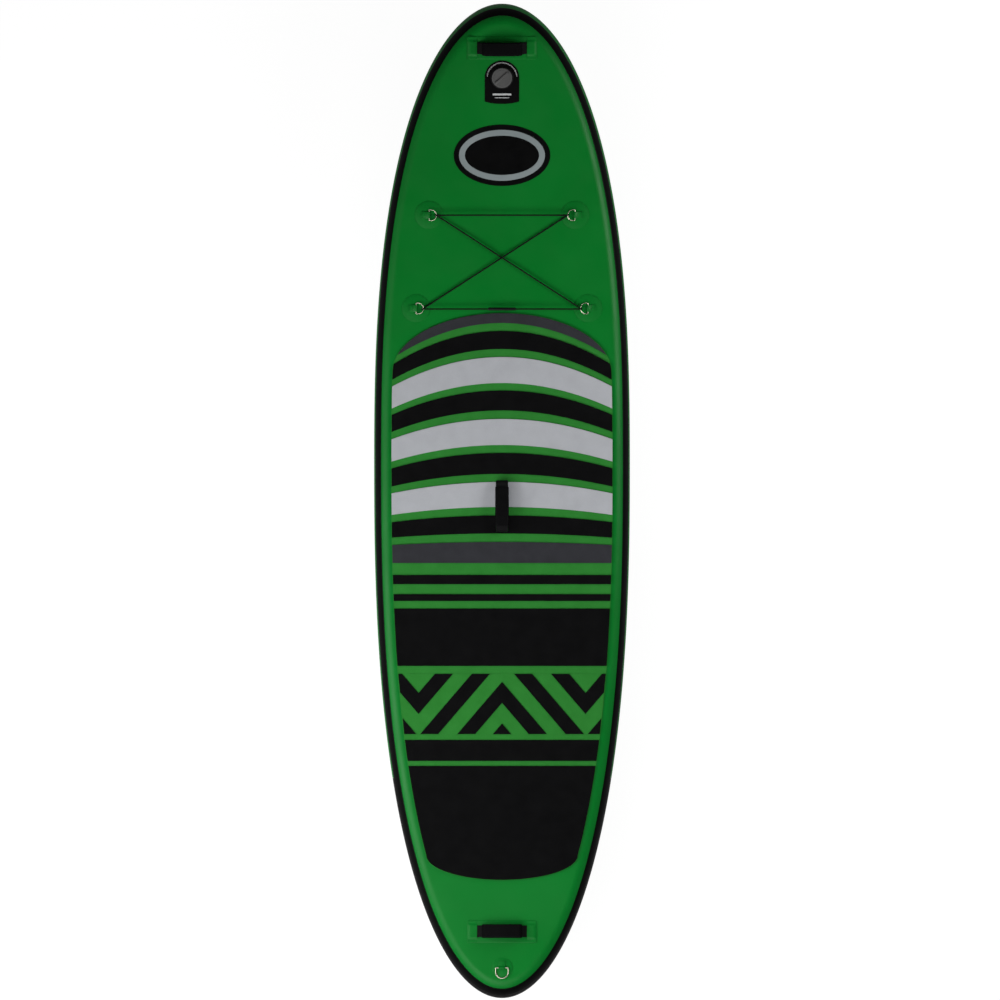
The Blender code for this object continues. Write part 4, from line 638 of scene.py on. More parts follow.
def paint(obj, material, degrees=35):
    obj.data.materials.clear()
    obj.data.materials.append(material)
    return softEdges(obj, degrees)


def stand(obj, place):
    obj.data.transform(place)
    obj.data.update()
    return obj


def layPiece(obj, material, degrees=18):
    return softEdges(bakeTree(obj, rockerTree, material=material), degrees)


def finishPiece(obj, body, node):
    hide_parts(node)
    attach(obj, body)
    return obj


def blendPiece(obj, slotName, node, body, start, end):
    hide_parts(node)
    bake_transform(obj)


# Hull, deck, rails and seam tapes


def rimStations(start, end):
    return [start + (end - start) * share for share in shares(boardShape["stations"])]


def makeSkin(name, side):
    shape = bmesh.new()
    sheets = []
    for outward in (0.0, -boardShape["skin"]):
        rows = []
        for angle in rimStations(0.0, 180.0):
            point, inward = rim(angle)
            right = []
            for step in boardShape["skinAngles"]:
                depth, height = sectionPoint(step, outward)
                right.append((*(point + inward * depth), side * height))
            x, y, z = right[-1]
            right += [(x * share, y, z) for share in boardShape["flat"]]
            rows.append(corners(shape, right + [(-x, y, z) for x, y, z in right[-2::-1]]))
        for first, second in zip(rows, rows[1:]):
            strip(shape, first, second)
        sheets.append(rows)
    for edge in (0, -1):
        strip(shape, *[[line[edge] for line in rows] for rows in sheets])
    return closeShape(name, shape)


def sweepRim(name, profile, start, end):
    right = []
    for angle in rimStations(start, end):
        point, inward = rim(angle)
        right.append([(*(point + inward * depth), height) for depth, height in profile])
    left = [[(-x, y, z) for x, y, z in line] for line in right]
    if start == 0 and end == 180:
        return loft(name, right + left[-2:0:-1], closed=True)
    if start == 0:
        return loft(name, left[:0:-1] + right)
    return loft(name, right + left[-2::-1])


def makeRail(name, start, end):
    outer = [boardShape["railAngle"] * (2 * share - 1) for share in shares(18)]
    profile = [sectionPoint(angle) for angle in outer]
    profile += [sectionPoint(angle, -boardShape["railWall"]) for angle in outer[::-2]]
    return sweepRim(name, profile, start, end)


def makeTape(name, side):
    # welded tape with its two long edges feathered down to the skin
    low, high = boardShape["tapeAngles"]
    fade = boardShape["tapeFade"]
    outer = [(low + inward, share) for inward, share in fade]
    outer += [(low + (high - low) * share, 1.0) for share in shares(12)[1:-1]]
    outer += [(high - inward, share) for inward, share in fade[::-1]]
    profile = [sectionPoint(side * angle, gap + boardShape["tape"] * share) for angle, share in outer]
    profile += [sectionPoint(side * (high - (high - low) * share), gap) for share in shares(8)]
    return sweepRim(name, profile, 0.0, 180.0)


blackFrom = rimAngle(planY(boardShape["blackRailFrom"]))
railGap = boardShape["railGap"]

valve = {
    "at": 0.2349, "halfWidth": 0.0555, "ahead": 0.055, "behind": 0.086, "bulge": 0.008, "bulgePower": 2.6,
    "hole": 0.0256, "holeDeep": 0.015, "sheet": 0.001, "edge": 0.0003, "flange": 0.037, "flangeLow": 0.0016,
    "flangeTop": 0.0050, "flangeRound": 0.0012, "neck": 0.025, "bore": 0.021, "depth": 0.024, "lip": 0.004,
    "lipTall": 0.002, "spiderTop": -0.0135, "spiderTall": 0.003, "spiderHalf": 0.0015, "hub": 0.0065,
    "stemBore": 0.0033, "tickRadius": 0.0478, "ticks": (6, 174), "tickPitch": 0.0036,
    "tick": (0.0018, 0.0034, 0.0003), "mark": 0.0003, "markEdge": 0.0001,
    "rules": ((-0.055, 0.060, 0.0060), (-0.066, 0.046, 0.0022)),
}
valveSpot = planY(valve["at"], half)

deck = makeSkin("deckSkin", 1)
valveHole = rod(valve["hole"], half - valve["holeDeep"], half + valve["holeDeep"], 64)
boolean(deck, stand(valveHole, Matrix.Translation((0, valveSpot, 0))))
for obj, material, degrees, slotName, node in (
    (deck, pvcGreen, 40, "pvc_green", "deck_skin"),
    (makeSkin("hullSkin", -1), pvcGreen, 40, "pvc_green", "hull_skin"),
    (makeRail("railGreen", 0.0, blackFrom - railGap), pvcGreen, 40, "pvc_green", "rail_band_green"),
    (makeRail("railBlack", blackFrom + railGap, 180.0), pvcBlack, 40, "pvc_black", "rail_band_black"),
    (makeTape("deckTape", 1), pvcBlack, 50, "pvc_black", "deck_seam_tape"),
    (makeTape("hullTape", -1), pvcBlack, 50, "pvc_black", "hull_seam_tape"),
):
    finishPiece(layPiece(obj, material, degrees), "board", node)
print("skins, rails and tapes are laid")


# Deck pad: foam sheets cut to outlines, each with a small rounded edge

padShape = {
    "inset": 0.055, "start": 0.993, "end": 2.821, "noseArch": 0.195, "tailArch": 0.080, "inlayInset": 0.001,
    "archRise": 0.110, "capEnd": 1.0257, "archEnd": 1.7992, "apart": 0.002, "base": (0.0753, 0.0778),
    "inlay": (0.0781, 0.0811), "film": 0.0008, "filmEdge": 0.0002, "edge": 0.0005,
    "black": ((1.0515, 1.1095), (1.2435, 1.3076), (1.4446, 1.5122), (1.6462, 1.7039)),
    "pale": ((1.1353, 1.2190), (1.3350, 1.4188), (1.5380, 1.6185)), "dark": ((1.7315, 1.7992),),
    "bars": ((1.8378, 1.8675), (1.8995, 1.9214), (2.3692, 2.4368)), "panel": ((1.9459, 2.1308),),
    "chevrons": (2.1559, 2.3508), "tailFrom": 2.4529, "handleAt": 1.616,
    "strapRoom": (0.0197, 0.0534, 0.0836), "strapCut": (0.07, 0.09), "strip": 0.02, "nearest": 0.0004,
}


def padRim(inset):
    deep = padShape["inset"] + inset
    start, end = planY(padShape["start"] + inset, half), planY(padShape["end"] - inset, half)
    shoulder, hip = start - padShape["noseArch"], end + padShape["tailArch"]
    right = []
    arches = ((shoulder, start - shoulder, 90, 0, 28), (hip, end - hip, 0, 90, 20))
    for y, tall, first, last, steps in arches:
        if right:
            levels = [shoulder + (hip - shoulder) * share for share in shares(48)[1:-1]]
            right += [(insetHalfWidth(level, deep), level) for level in levels]
        wide = insetHalfWidth(y, deep)
        for share in shares(steps):
            across, along = polar(wide, first + (last - first) * share, tall)
            right.append((across, y + along))
    return right


padRimPoints = padRim(padShape["inlayInset"])


def padHalfWidth(y):
    for (x1, y1), (x2, y2) in zip(padRimPoints, padRimPoints[1:]):
        if y2 <= y <= y1 and y1 > y2:
            return x1 + (x2 - x1) * (y1 - y) / (y1 - y2)
    return 0.0


def archedEdge(distance):
    middle = planY(distance, half)
    full = insetHalfWidth(middle, padShape["inset"] + padShape["inlayInset"])
    fall = (padShape["archEnd"] - distance) / (padShape["archEnd"] - padShape["capEnd"])
    sag = padShape["archRise"] * max(0.0, min(1.0, fall))
    edge = between(0.0, full * 1.2, lambda x: x < padHalfWidth(middle - sag * (x / full) ** 2), 30)
    steps = 1 if sag < 0.001 else 40
    return [(edge * share, middle - sag * (edge * share / full) ** 2) for share in shares(steps)]


def bandOutline(start, end):
    lower = archedEdge(end)
    low = lower[-1][1]
    if start is None:
        upper = [point for point in padRimPoints if point[1] > low]
    else:
        upper = archedEdge(start)
        high, apart = upper[-1][1], padShape["apart"]
        upper += [point for point in padRimPoints if low + apart < point[1] < high - apart]
    return mirrored(upper + lower[::-1])


def cutSheet(name, outlines, low, high, edge=padShape["edge"]):
    # outline curves filled, thickened and given a rounded edge
    curve = bpy.data.curves.new(name, "CURVE")
    curve.dimensions = "2D"
    curve.fill_mode = "BOTH"
    curve.extrude = (high - low) / 2 - edge
    curve.bevel_depth = edge
    curve.offset = -edge
    curve.bevel_resolution = 1
    for outline in outlines:
        spline = curve.splines.new("POLY")
        spline.points.add(len(outline) - 1)
        for point, (x, y) in zip(spline.points, outline):
            point.co = (x, y, 0, 1)
        spline.use_cyclic_u = True
    drawn = newObject(name + "Drawn", curve)
    shape = shapeOf(evaluated(drawn))
    bpy.data.objects.remove(drawn)
    bmesh.ops.translate(shape, vec=(0, 0, (low + high) / 2), verts=shape.verts)
    return closeShape(name, shape)


def intoStrips(obj):
    # cuts across the board, where a flat sheet has to bend with it
    shape = shapeOf(obj.data)
    levels = [vertex.co.y for vertex in shape.verts]
    lowest, highest = min(levels), max(levels)
    level = math.floor(lowest / padShape["strip"]) * padShape["strip"]
    while level < highest:
        bends = level > boardShape["noseFrom"] or level < boardShape["tailFrom"]
        if bends and lowest + padShape["nearest"] < level < highest - padShape["nearest"]:
            everything = shape.verts[:] + shape.edges[:] + shape.faces[:]
            place = {"plane_co": (0, level, 0), "plane_no": (0, 1, 0)}
            bmesh.ops.bisect_plane(shape, geom=everything, dist=0.00001, **place)
        level += padShape["strip"]
    keepShape(shape, obj.data)
    return obj


def cutStrapRoom(obj):
    wide, near, far = padShape["strapRoom"]
    low, high = padShape["strapCut"]
    y = planY(padShape["handleAt"], half)
    for side in (1, -1):
        ends = sorted((y + side * near, y + side * far))
        boolean(obj, boxAt((-wide, ends[0], low), (wide, ends[1], high)))


def foamPiece(name, outlines, shade, node, levels=padShape["inlay"], edge=padShape["edge"], strapRoom=False):
    obj = cutSheet(name, outlines, *levels, edge)
    if strapRoom:
        cutStrapRoom(obj)
    layPiece(intoStrips(obj), foams[shade])
    finishPiece(obj, "board", node)


foamPiece("padBase", [mirrored(padRim(0.0))], "green", "pad_base", padShape["base"], strapRoom=True)
foamPiece("padCap", [bandOutline(None, padShape["capEnd"])], "dark", "pad_cap")
for key, name, shade, node in (
    ("black", "archBlack", "black", "pad_arch_black"), ("pale", "archPale", "pale", "pad_arch_pale"),
    ("dark", "darkBand", "dark", "pad_dark_band"), ("bars", "bar", "black", "pad_bar"),
    ("panel", "panel", "black", "pad_panel"),
):
    several = len(padShape[key]) > 1
    for number, band in enumerate(padShape[key], 1):
        label, place = (f"{name}{number}", f"{node}_{number}") if several else (name, node)
        crossed = label in ("archBlack4", "archPale3")
        foamPiece(label, [bandOutline(*band)], shade, place, strapRoom=crossed)
tailStart = planY(padShape["tailFrom"], half)
tailOutline = [point for point in padRimPoints if point[1] < tailStart - padShape["apart"]]
foamPiece("tailPad", [mirrored([(padHalfWidth(tailStart), tailStart)] + tailOutline)], "black", "tail_pad")
print("the pad's bands are cut")

# Zigzag strip: black bars on a thin green film

zigzag = {
    "bar": 0.058, "slope": 1.165, "roof": 0.865, "slantX": 0.0387, "veeX": 0.269, "veeFoot": 0.335,
    "cornerX": 0.276, "endX": 0.400, "edge": 0.0005, "nearest": 0.0002,
}


def zigzagBars(bottom, tall):
    thick, slope = zigzag["bar"], zigzag["slope"]
    roof = zigzag["roof"] * tall
    wide = roof / slope
    shapes = [
        [(-wide, 0), (-wide + thick, 0), (0, roof - thick * slope), (wide - thick, 0), (wide, 0), (0, roof)],
        [(-thick / 2, 0), (thick / 2, 0), (0, thick * slope / 2)],
    ]
    bar, vee = zigzag["slantX"], zigzag["veeX"]
    low = zigzag["veeFoot"] * tall
    high = low + thick * slope
    near, far = (tall - high) / slope, (tall - low) / slope
    corner, past = zigzag["cornerX"], zigzag["endX"]
    for side in (1, -1):
        right = [
            [(bar, tall), (bar + tall / slope, 0), (bar + thick + tall / slope, 0), (bar + thick, tall)],
            [
                (vee, low), (vee + far, tall), (vee + near, tall),
                (vee, high), (vee - near, tall), (vee - far, tall),
            ],
            [(corner, 0), (past, 0), (past, (past - corner) * slope)],
        ]
        shapes += [[(side * x, y) for x, y in shape[::side]] for shape in right]
    return [[(x, bottom + y) for x, y in shape] for shape in shapes]


def clipped(points, zone):
    # keeps what lies inside a convex outline that runs anticlockwise
    for (x1, y1), (x2, y2) in zip(zone, zone[1:] + zone[:1]):
        kept = []
        for (ax, ay), (bx, by) in zip(points, points[1:] + points[:1]):
            first, second = [(x2 - x1) * (y - y1) - (y2 - y1) * (x - x1) for x, y in ((ax, ay), (bx, by))]
            if first >= 0:
                kept.append((ax, ay))
            if first * second < 0:
                share = first / (first - second)
                kept.append((ax + (bx - ax) * share, ay + (by - ay) * share))
        points = kept
    tidy = []
    for point in points:
        if not tidy or math.dist(point, tidy[-1]) > zigzag["nearest"]:
            tidy.append(point)
    return tidy


def makeZigzag():
    top, bottom = (planY(distance, half) for distance in padShape["chevrons"])

    def zone(inset):
        ends = ((bottom, inset), (top, -inset))
        return mirrored([(padHalfWidth(y) - inset, y + rise) for y, rise in ends])

    low, high = padShape["inlay"]
    film = low + padShape["film"]
    foamPiece("zigzagFilm", [zone(0)], "green", "pad_chevrons", (low, film), padShape["filmEdge"])
    outlines = [clipped(bar, zone(zigzag["edge"])) for bar in zigzagBars(bottom, top - bottom)]
    bars = [line for line in outlines if len(line) > 2]
    foamPiece("zigzagBars", bars, "black", "pad_chevrons", (film, high))


makeZigzag()


# Oval badge with a raised ring

badge = {
    "at": 0.4855, "across": 0.1555, "along": 0.100, "sheet": 0.0008, "edge": 0.0003, "ringIn": 0.017,
    "ringWide": 0.019, "ringRise": 0.0003, "ringEdge": 0.0001,
}


def oval(y, across, along, steps=96, x=0.0):
    turns = [polar(across, 360 * share, along) for share in shares(steps)[:-1]]
    return [(x + right, y + ahead) for right, ahead in turns]


def filmPiece(obj, material, node):
    finishPiece(layPiece(obj, material), "board", node)


def makeBadge():
    y = planY(badge["at"], half)
    top = half + gap + badge["sheet"]
    outline = oval(y, badge["across"], badge["along"])
    sheet = cutSheet("badge", [outline], half + gap, top, badge["edge"])
    filmPiece(intoStrips(sheet), badgeBlack, "nose_badge")
    insets = (badge["ringIn"], badge["ringIn"] + badge["ringWide"])
    lines = [oval(y, badge["across"] - inset, badge["along"] - inset) for inset in insets]
    bands = cutSheet("badgeRing", lines, top, top + badge["ringRise"], badge["ringEdge"])
    filmPiece(intoStrips(bands), badgeGrey, "nose_badge")


makeBadge()
print("zigzag and badge are on")


# Geometry trees that repeat a small thing along a path; the host's points hold which way is up in "upward"


def rowTree(name, rounded):
    labels = {"Pitch": 0.004, "Part Length": 0.003, "Part Width": 0.001, "Part Height": 0.0006, "Sink": 0.0}
    tree, given = startTree(name, labels)
    path = output(tree, "GeometryNodeMeshToCurve", {"Mesh": given["Geometry"]})
    inputs = {"Curve": path, "Length": given["Pitch"]}
    even = output(tree, "GeometryNodeResampleCurve", inputs, mode="LENGTH")
    if rounded:
        part = output(tree, "GeometryNodeMeshUVSphere", {"Segments": 8, "Rings": 5, "Radius": 0.5})
    else:
        part = output(tree, "GeometryNodeMeshCube")
    size = combine(tree, given["Part Length"], given["Part Width"], given["Part Height"])
    drop = combine(tree, 0.0, 0.0, calc(tree, "MULTIPLY", given["Sink"], -1.0))
    sized = output(tree, "GeometryNodeTransform", {"Geometry": part, "Scale": size, "Translation": drop})
    smooth = output(tree, "GeometryNodeSetShadeSmooth", {"Geometry": sized, "Shade Smooth": rounded})
    ahead = output(tree, "GeometryNodeInputTangent")
    forward = output(tree, "FunctionNodeAlignRotationToVector", {"Vector": ahead}, axis="X")
    upward = output(tree, "GeometryNodeInputNamedAttribute", {"Name": "upward"}, data_type="FLOAT_VECTOR")
    inputs = {"Rotation": forward, "Vector": upward}
    turned = output(tree, "FunctionNodeAlignRotationToVector", inputs, axis="Z", pivot_axis="X")
    inputs = {"Points": even, "Instance": smooth, "Rotation": turned}
    return endTree(tree, given, output(tree, "GeometryNodeInstanceOnPoints", inputs))


stitchTree = rowTree("stitchRow", True)
markTree = rowTree("markRow", False)


def pathHost(name, paths):
    # paths: lists of (place, up) pairs, each an open line, or closed when it ends where it starts
    places, edges, ups = [], [], []
    for path in paths:
        first = len(places)
        closed = (path[0][0] - path[-1][0]).length < 1e-6
        run = path[:-1] if closed else path
        places += [tuple(place) for place, _ in run]
        ups += [up for _, up in run]
        edges += [(first + i, first + i + 1) for i in range(len(run) - 1)]
        if closed:
            edges.append((first + len(run) - 1, first))
    mesh = bpy.data.meshes.new(name)
    mesh.from_pydata(places, edges, [])
    attribute = mesh.attributes.new("upward", "FLOAT_VECTOR", "POINT")
    for item, up in zip(attribute.data, ups):
        item.vector = up
    return newObject(name, mesh)


stitch = {"pitch": 0.0042, "size": (0.0034, 0.0008, 0.0006)}


def row(name, paths, tree, material, pitch, size, sink=0.0):
    long, wide, tall = size
    values = {"pitch": pitch, "partLength": long, "partWidth": wide, "partHeight": tall, "sink": sink}
    return bakeTree(pathHost(name, paths), tree, material=material, **values)


def stitchRows(name, paths, body, node, pitch=stitch["pitch"], size=stitch["size"]):
    finishPiece(row(name, paths, stitchTree, threadBlack, pitch, size), body, node)


def ribRing(name, place, radius, height, count, material, pitch, size, sink=0.0):
    line = []
    for i in range(count + 1):
        out = Vector((*polar(1.0, 360 * (i % count) / count), 0))
        line.append((place @ (out * radius + Vector((0, 0, height))), place.to_3x3() @ out))
    return row(name, [line], markTree, material, pitch, size, sink)


# Valve: plate with tick marks, flanged body, stem side parts from the CAD, and the turned cap

cap = {
    "low": 0.0053, "top": 0.0108, "radius": 0.0325, "round": 0.0018, "plugRoom": 0.0006, "plugDeep": 0.0075,
    "plugWall": 0.0045, "sealHalf": 0.0009, "sealDeep": 0.0018, "ceiling": 0.0037,
    "bar": (0.056, 0.008, 0.0034), "barSink": 0.0009, "barTall": 0.0045, "barEdge": 0.0012, "barTurn": 42.0,
    "ribPitch": 0.0034, "rib": (0.0011, 0.0030, 0.0010),
    "groove": ((0.0255, 0.001), (0.0265, 0.001), (0.0262, -0.0004), (0.0254, -0.0004), (0.025, 0.0004)),
}


def join(name, objects):
    shape = bmesh.new()
    for obj in objects:
        shape.from_mesh(obj.data)
        bpy.data.objects.remove(obj)
    return newObject(name, keepShape(shape, bpy.data.meshes.new(name)))


def roundedRectangle(wide, tall, radius, y=0.0):
    points = []
    for sideX, sideY, first in ((1, 1, 0), (-1, 1, 90), (-1, -1, 180), (1, -1, 270)):
        for share in shares(6):
            right, ahead = polar(radius, first + 90 * share)
            points.append((sideX * (wide / 2 - radius) + right, y + sideY * (tall / 2 - radius) + ahead))
    return points


def makePlate(up):
    low = half + gap
    top = low + valve["sheet"]
    wide = valve["halfWidth"]
    outline = [polar(wide, angle, valve["ahead"]) for angle in range(0, 181, 5)]
    for share in [2 * part - 1 for part in shares(12)]:
        outline.append((wide * share, valve["bulge"] * abs(share) ** valve["bulgePower"] - valve["behind"]))
    outlines = [[(x, valveSpot + y) for x, y in outline], oval(valveSpot, valve["hole"], valve["hole"])]
    sheet = cutSheet("valvePlate", outlines, low, top, valve["edge"])
    filmPiece(intoStrips(sheet), sheetBlack, "valve_plate")
    first, last = valve["ticks"]
    ticks = []
    for share in shares(40):
        x, y = polar(valve["tickRadius"], first + (last - first) * share)
        ticks.append((lay(x, valveSpot + y, top + valve["markEdge"]), up))
    marks = row("valveTicks", [ticks], markTree, tickGrey, valve["tickPitch"], valve["tick"])
    finishPiece(marks, "board", "valve_plate")
    rules = valve["rules"]
    lines = [roundedRectangle(wide, tall, tall / 3, y=valveSpot + down) for down, wide, tall in rules]
    sheet = cutSheet("valveRules", lines, top, top + valve["mark"], valve["markEdge"])
    filmPiece(sheet, tickGrey, "valve_plate")


def makeBody():
    r, c, top, deep = valve["flange"], valve["flangeRound"], valve["flangeTop"], -valve["depth"]
    bore, neck, flangeLow = valve["bore"], valve["neck"], valve["flangeLow"]
    lip, lipTall = bore - valve["lip"], valve["lipTall"]
    rounding = ((1, 0), (0.35, 0.15), (0.1, 0.45), (0, 1))
    profile = [(r - inward * c, top - down * c) for inward, down in rounding]
    profile += [
        (r, flangeLow), (neck, flangeLow), (neck, deep), (lip, deep), (lip, lipTall + deep),
        (bore, 2 * lipTall + deep), (bore, top),
    ]
    body = lathe("valveBody", profile, 80)
    high = valve["spiderTop"]
    low = high - valve["spiderTall"]
    reach, thin = (bore + neck) / 2, valve["spiderHalf"]
    for wide, long in ((reach, thin), (thin, reach)):
        boolean(body, boxAt((-wide, -long, low), (wide, long, high)), "UNION")
    boolean(body, rod(valve["hub"], low, high, 32), "UNION")
    return boolean(body, rod(valve["stemBore"], low - 0.01, 0, 32))


def makeCap():
    r, top, c = cap["radius"], cap["top"], cap["round"]
    plug = valve["bore"] - cap["plugRoom"]
    seal, wall, ceiling = plug - cap["sealDeep"], plug - cap["plugWall"], top - cap["ceiling"]
    foot = valve["flangeTop"] - cap["plugDeep"]
    middle = foot + cap["plugDeep"] / 2
    low, high = middle - cap["sealHalf"], middle + cap["sealHalf"]
    edge = [polar(c, angle) for angle in range(90, -1, -15)]
    profile = [(0, top)] + [(r - c + x, top - c + y) for x, y in edge] + [
        (r, cap["low"]), (plug, cap["low"]), (plug, high), (seal, high), (seal, low), (plug, low),
        (plug, foot), (wall, foot), (wall, ceiling), (0, ceiling),
    ]
    obj = lathe("valveCap", profile)
    outline = roundedRectangle(*cap["bar"])
    bar = cutSheet("fingerBar", [outline], top - cap["barSink"], top + cap["barTall"], cap["barEdge"])
    boolean(obj, stand(bar, Matrix.Rotation(math.radians(cap["barTurn"]), 4, "Z")), "UNION")
    return boolean(obj, lathe("capGroove", [(radius, top + rise) for radius, rise in cap["groove"]]))


def makeValve():
    place = seat(0, valveSpot, half)
    makePlate(place.to_3x3() @ Vector((0, 0, 1)))
    finishPiece(stand(paint(makeBody(), mouldedBlack), place), "board", "valve_body")
    finishPiece(stand(paint(makeCap(), capGrey), place), "cap", "valve_cap")
    height = (cap["low"] + cap["top"] - cap["round"]) / 2
    ribs = ribRing("capRibs", place, cap["radius"], height, 48, capGrey, cap["ribPitch"], cap["rib"])
    finishPiece(ribs, "cap", "valve_cap")


makeValve()
print("the valve is in")


# Straps and cords: sections carried along a line, with UVs in metres


def frames(points, closed=False, side=None):
    # point, tangent, side and normal at each point; with no side given, the normal is kept near up
    made = []
    count = len(points)
    for i, point in enumerate(points):
        after, before = ((i + 1) % count, i - 1) if closed else (min(i + 1, count - 1), max(i - 1, 0))
        ahead = (points[after] - points[before]).normalized()
        across = Vector((0, 0, 1)).cross(ahead).normalized() if side is None else side
        made.append((point, ahead, across, ahead.cross(across).normalized()))
    return made


def sweep(name, places, section, closed=False, start=0.0):
    # section: (across, up) pairs, or one list of them for each place
    shape = bmesh.new()
    layer = shape.loops.layers.uv.new("UVMap")
    sections = section if isinstance(section[0][0], (tuple, list)) else [section] * len(places)
    rings, runs, around = [], [start], [0.0]
    for i, (point, _, side, normal) in enumerate(places):
        if i:
            runs.append(runs[-1] + (point - places[i - 1][0]).length)
        rings.append(corners(shape, [point + side * a + normal * b for a, b in sections[i]]))
    if closed:
        runs.append(runs[-1] + (places[0][0] - places[-1][0]).length)
        rings.append(rings[0])
    outline = sections[0]
    for first, second in zip(outline, outline[1:] + outline[:1]):
        around.append(around[-1] + math.dist(first, second))
    for first, second, runA, runB in zip(rings, rings[1:], runs, runs[1:]):
        for i in range(len(outline)):
            after = (i + 1) % len(outline)
            face = shape.faces.new((first[i], first[after], second[after], second[i]))
            spots = ((runA, around[i]), (runA, around[i + 1]), (runB, around[i + 1]), (runB, around[i]))
            for loop, spot in zip(face.loops, spots):
                loop[layer].uv = spot
    if not closed:
        for ends, run in ((rings[0], runs[0]), (rings[-1], runs[-1])):
            for loop in shape.faces.new(ends).loops:
                loop[layer].uv = (run, 0.0)
    bmesh.ops.recalc_face_normals(shape, faces=shape.faces)
    return newObject(name, keepShape(shape, bpy.data.meshes.new(name)))


def circle(radius, sides=14):
    return [polar(radius, 360 * share) for share in shares(sides)[:-1]]


def webSection(wide, thick):
    # webbing: flat with rolled selvedges
    rolled = ((0.5, 0.5), (0.15, 0.35), (0.0, 0.0), (0.15, -0.35), (0.5, -0.5))
    return mirrored([(wide / 2 - thick * inward, thick * up) for inward, up in rolled])


def softened(points, rounds=2, closed=False):
    # corner cutting, with the ends kept
    for _ in range(rounds):
        made = []
        for first, second in zip(points, points[1:] + (points[:1] if closed else [])):
            made += [first.lerp(second, 0.25), first.lerp(second, 0.75)]
        points = made if closed else [points[0], *made, points[-1]]
    return points


# The stem's spring: a round-wire helix

spring = {"wire": 0.0004, "radius": 0.0041, "turns": 3.5, "steps": 24, "low": -0.0130, "high": -0.0046}


def makeSpring():
    place = seat(0, valveSpot, half)
    low, high, steps = spring["low"], spring["high"], spring["steps"]
    points = []
    for share in shares(int(spring["turns"] * steps)):
        around = polar(spring["radius"], 360 * spring["turns"] * share)
        points.append(Vector((*around, low + (high - low) * share)))
    obj = stand(paint(sweep("springWire", frames(points), circle(spring["wire"], 8)), steelWire, 60), place)
    blendPiece(obj, "steel", "valve_spring", "stem", *[place @ Vector((0, 0, end)) for end in (low, high)])


makeSpring()


# Carry handles: two lie in welded patches, the middle one has its feet curled under

handle = {
    "webWide": 0.038, "web": 0.002, "height": 0.030, "drop": 0.0035, "shoulder": 0.028, "footEnd": 0.0098,
    "patchLong": 0.225, "patchWide": 0.075, "sheet": 0.0012, "corner": 0.006, "edge": 0.0003,
    "cover": 0.032, "coverRim": 0.002, "coverFlat": 0.0005, "coverSlope": 0.008,
    "coverThick": (0.0009, -0.0002), "closeFrom": 0.0085, "closeRun": 0.0055, "riseRoom": 0.001,
    "seam": 0.0172, "seamHigh": 0.845, "gripLong": 0.124, "gripWide": 0.044, "gripThick": 0.011,
    "gripEnd": (0.97, 0.62), "gripRound": (0.42, 0.62), "gripStart": 0.35, "gripSteps": 44,
    "centreSpan": 0.164, "centreHeight": 0.038, "centreDrop": 0.0055, "curl": 0.008, "centreFoot": 0.020,
    "noseAt": 0.1395, "centreAt": 1.616, "tailAt": 2.986, "bend": ((0.0795, 0.0028), (0.055, 0.0028)),
    "centreBend": ((0.074, 0.006), (0.074, 0.030)),
}


def crown(reach, height, drop, steps):
    return [(reach * (1 - share), height - drop * (1 - share) ** 2) for share in shares(steps)[1:]]


def patchedLine():
    foot = 2 * gap + handle["sheet"] + handle["web"] / 2
    end = handle["patchLong"] / 2
    rise = end - handle["cover"] - handle["riseRoom"]
    high = handle["height"] - handle["drop"]
    points = [(end - handle["footEnd"], foot), ((end + rise) / 2, foot), (rise, foot)]
    for share in shares(16)[1:]:
        points.append((rise - handle["shoulder"] * share, foot + (high - foot) * eased(share)))
    return points + crown(rise - handle["shoulder"], handle["height"], handle["drop"], 12)


def curledLine():
    foot = gap + handle["web"] / 2
    reach = handle["centreSpan"] / 2 - handle["curl"]
    high = handle["centreHeight"] - handle["centreDrop"]
    middle = (foot + high) / 2
    points = [(reach - handle["centreFoot"] * share, foot) for share in shares(4)[:0:-1]]
    for share in shares(18):
        along, up = polar(handle["curl"], 180 * share - 90, high - middle)
        points.append((reach + along, middle + up))
    return points + crown(reach, handle["centreHeight"], handle["centreDrop"], 14)


def strapHalf(name, line, place, side, body, node, bend):
    points = [Vector((side * along, 0, height)) for along, height in line]
    places = frames(points, side=Vector((0, 1, 0)))
    obj = sweep(name, places, webSection(handle["webWide"], handle["web"]))
    ends = [place @ Vector((side * along, 0, height)) for along, height in bend]
    blendPiece(stand(paint(obj, webbingBlack, 60), place), "webbing", node, body, *ends)


def gripSection(scaleWide, scaleTall):
    # rounded, a little fuller in the middle than at its edges
    wide, tall = handle["gripWide"] / 2 * scaleWide, handle["gripThick"] / 2 * scaleTall
    roundWide, roundTall = handle["gripRound"]
    return [(
        wide * math.copysign(abs(x) ** roundWide, x), tall * math.copysign(abs(y) ** roundTall, y),
    ) for x, y in circle(1.0, 40)]


def lineHeight(line, along):
    for (x1, z1), (x2, z2) in zip(line, line[1:]):
        if x2 <= along <= x1 and x1 > x2 and z1 > handle["height"] * 0.5:
            return z1 + (z2 - z1) * (x1 - along) / (x1 - x2)
    return line[-1][1]


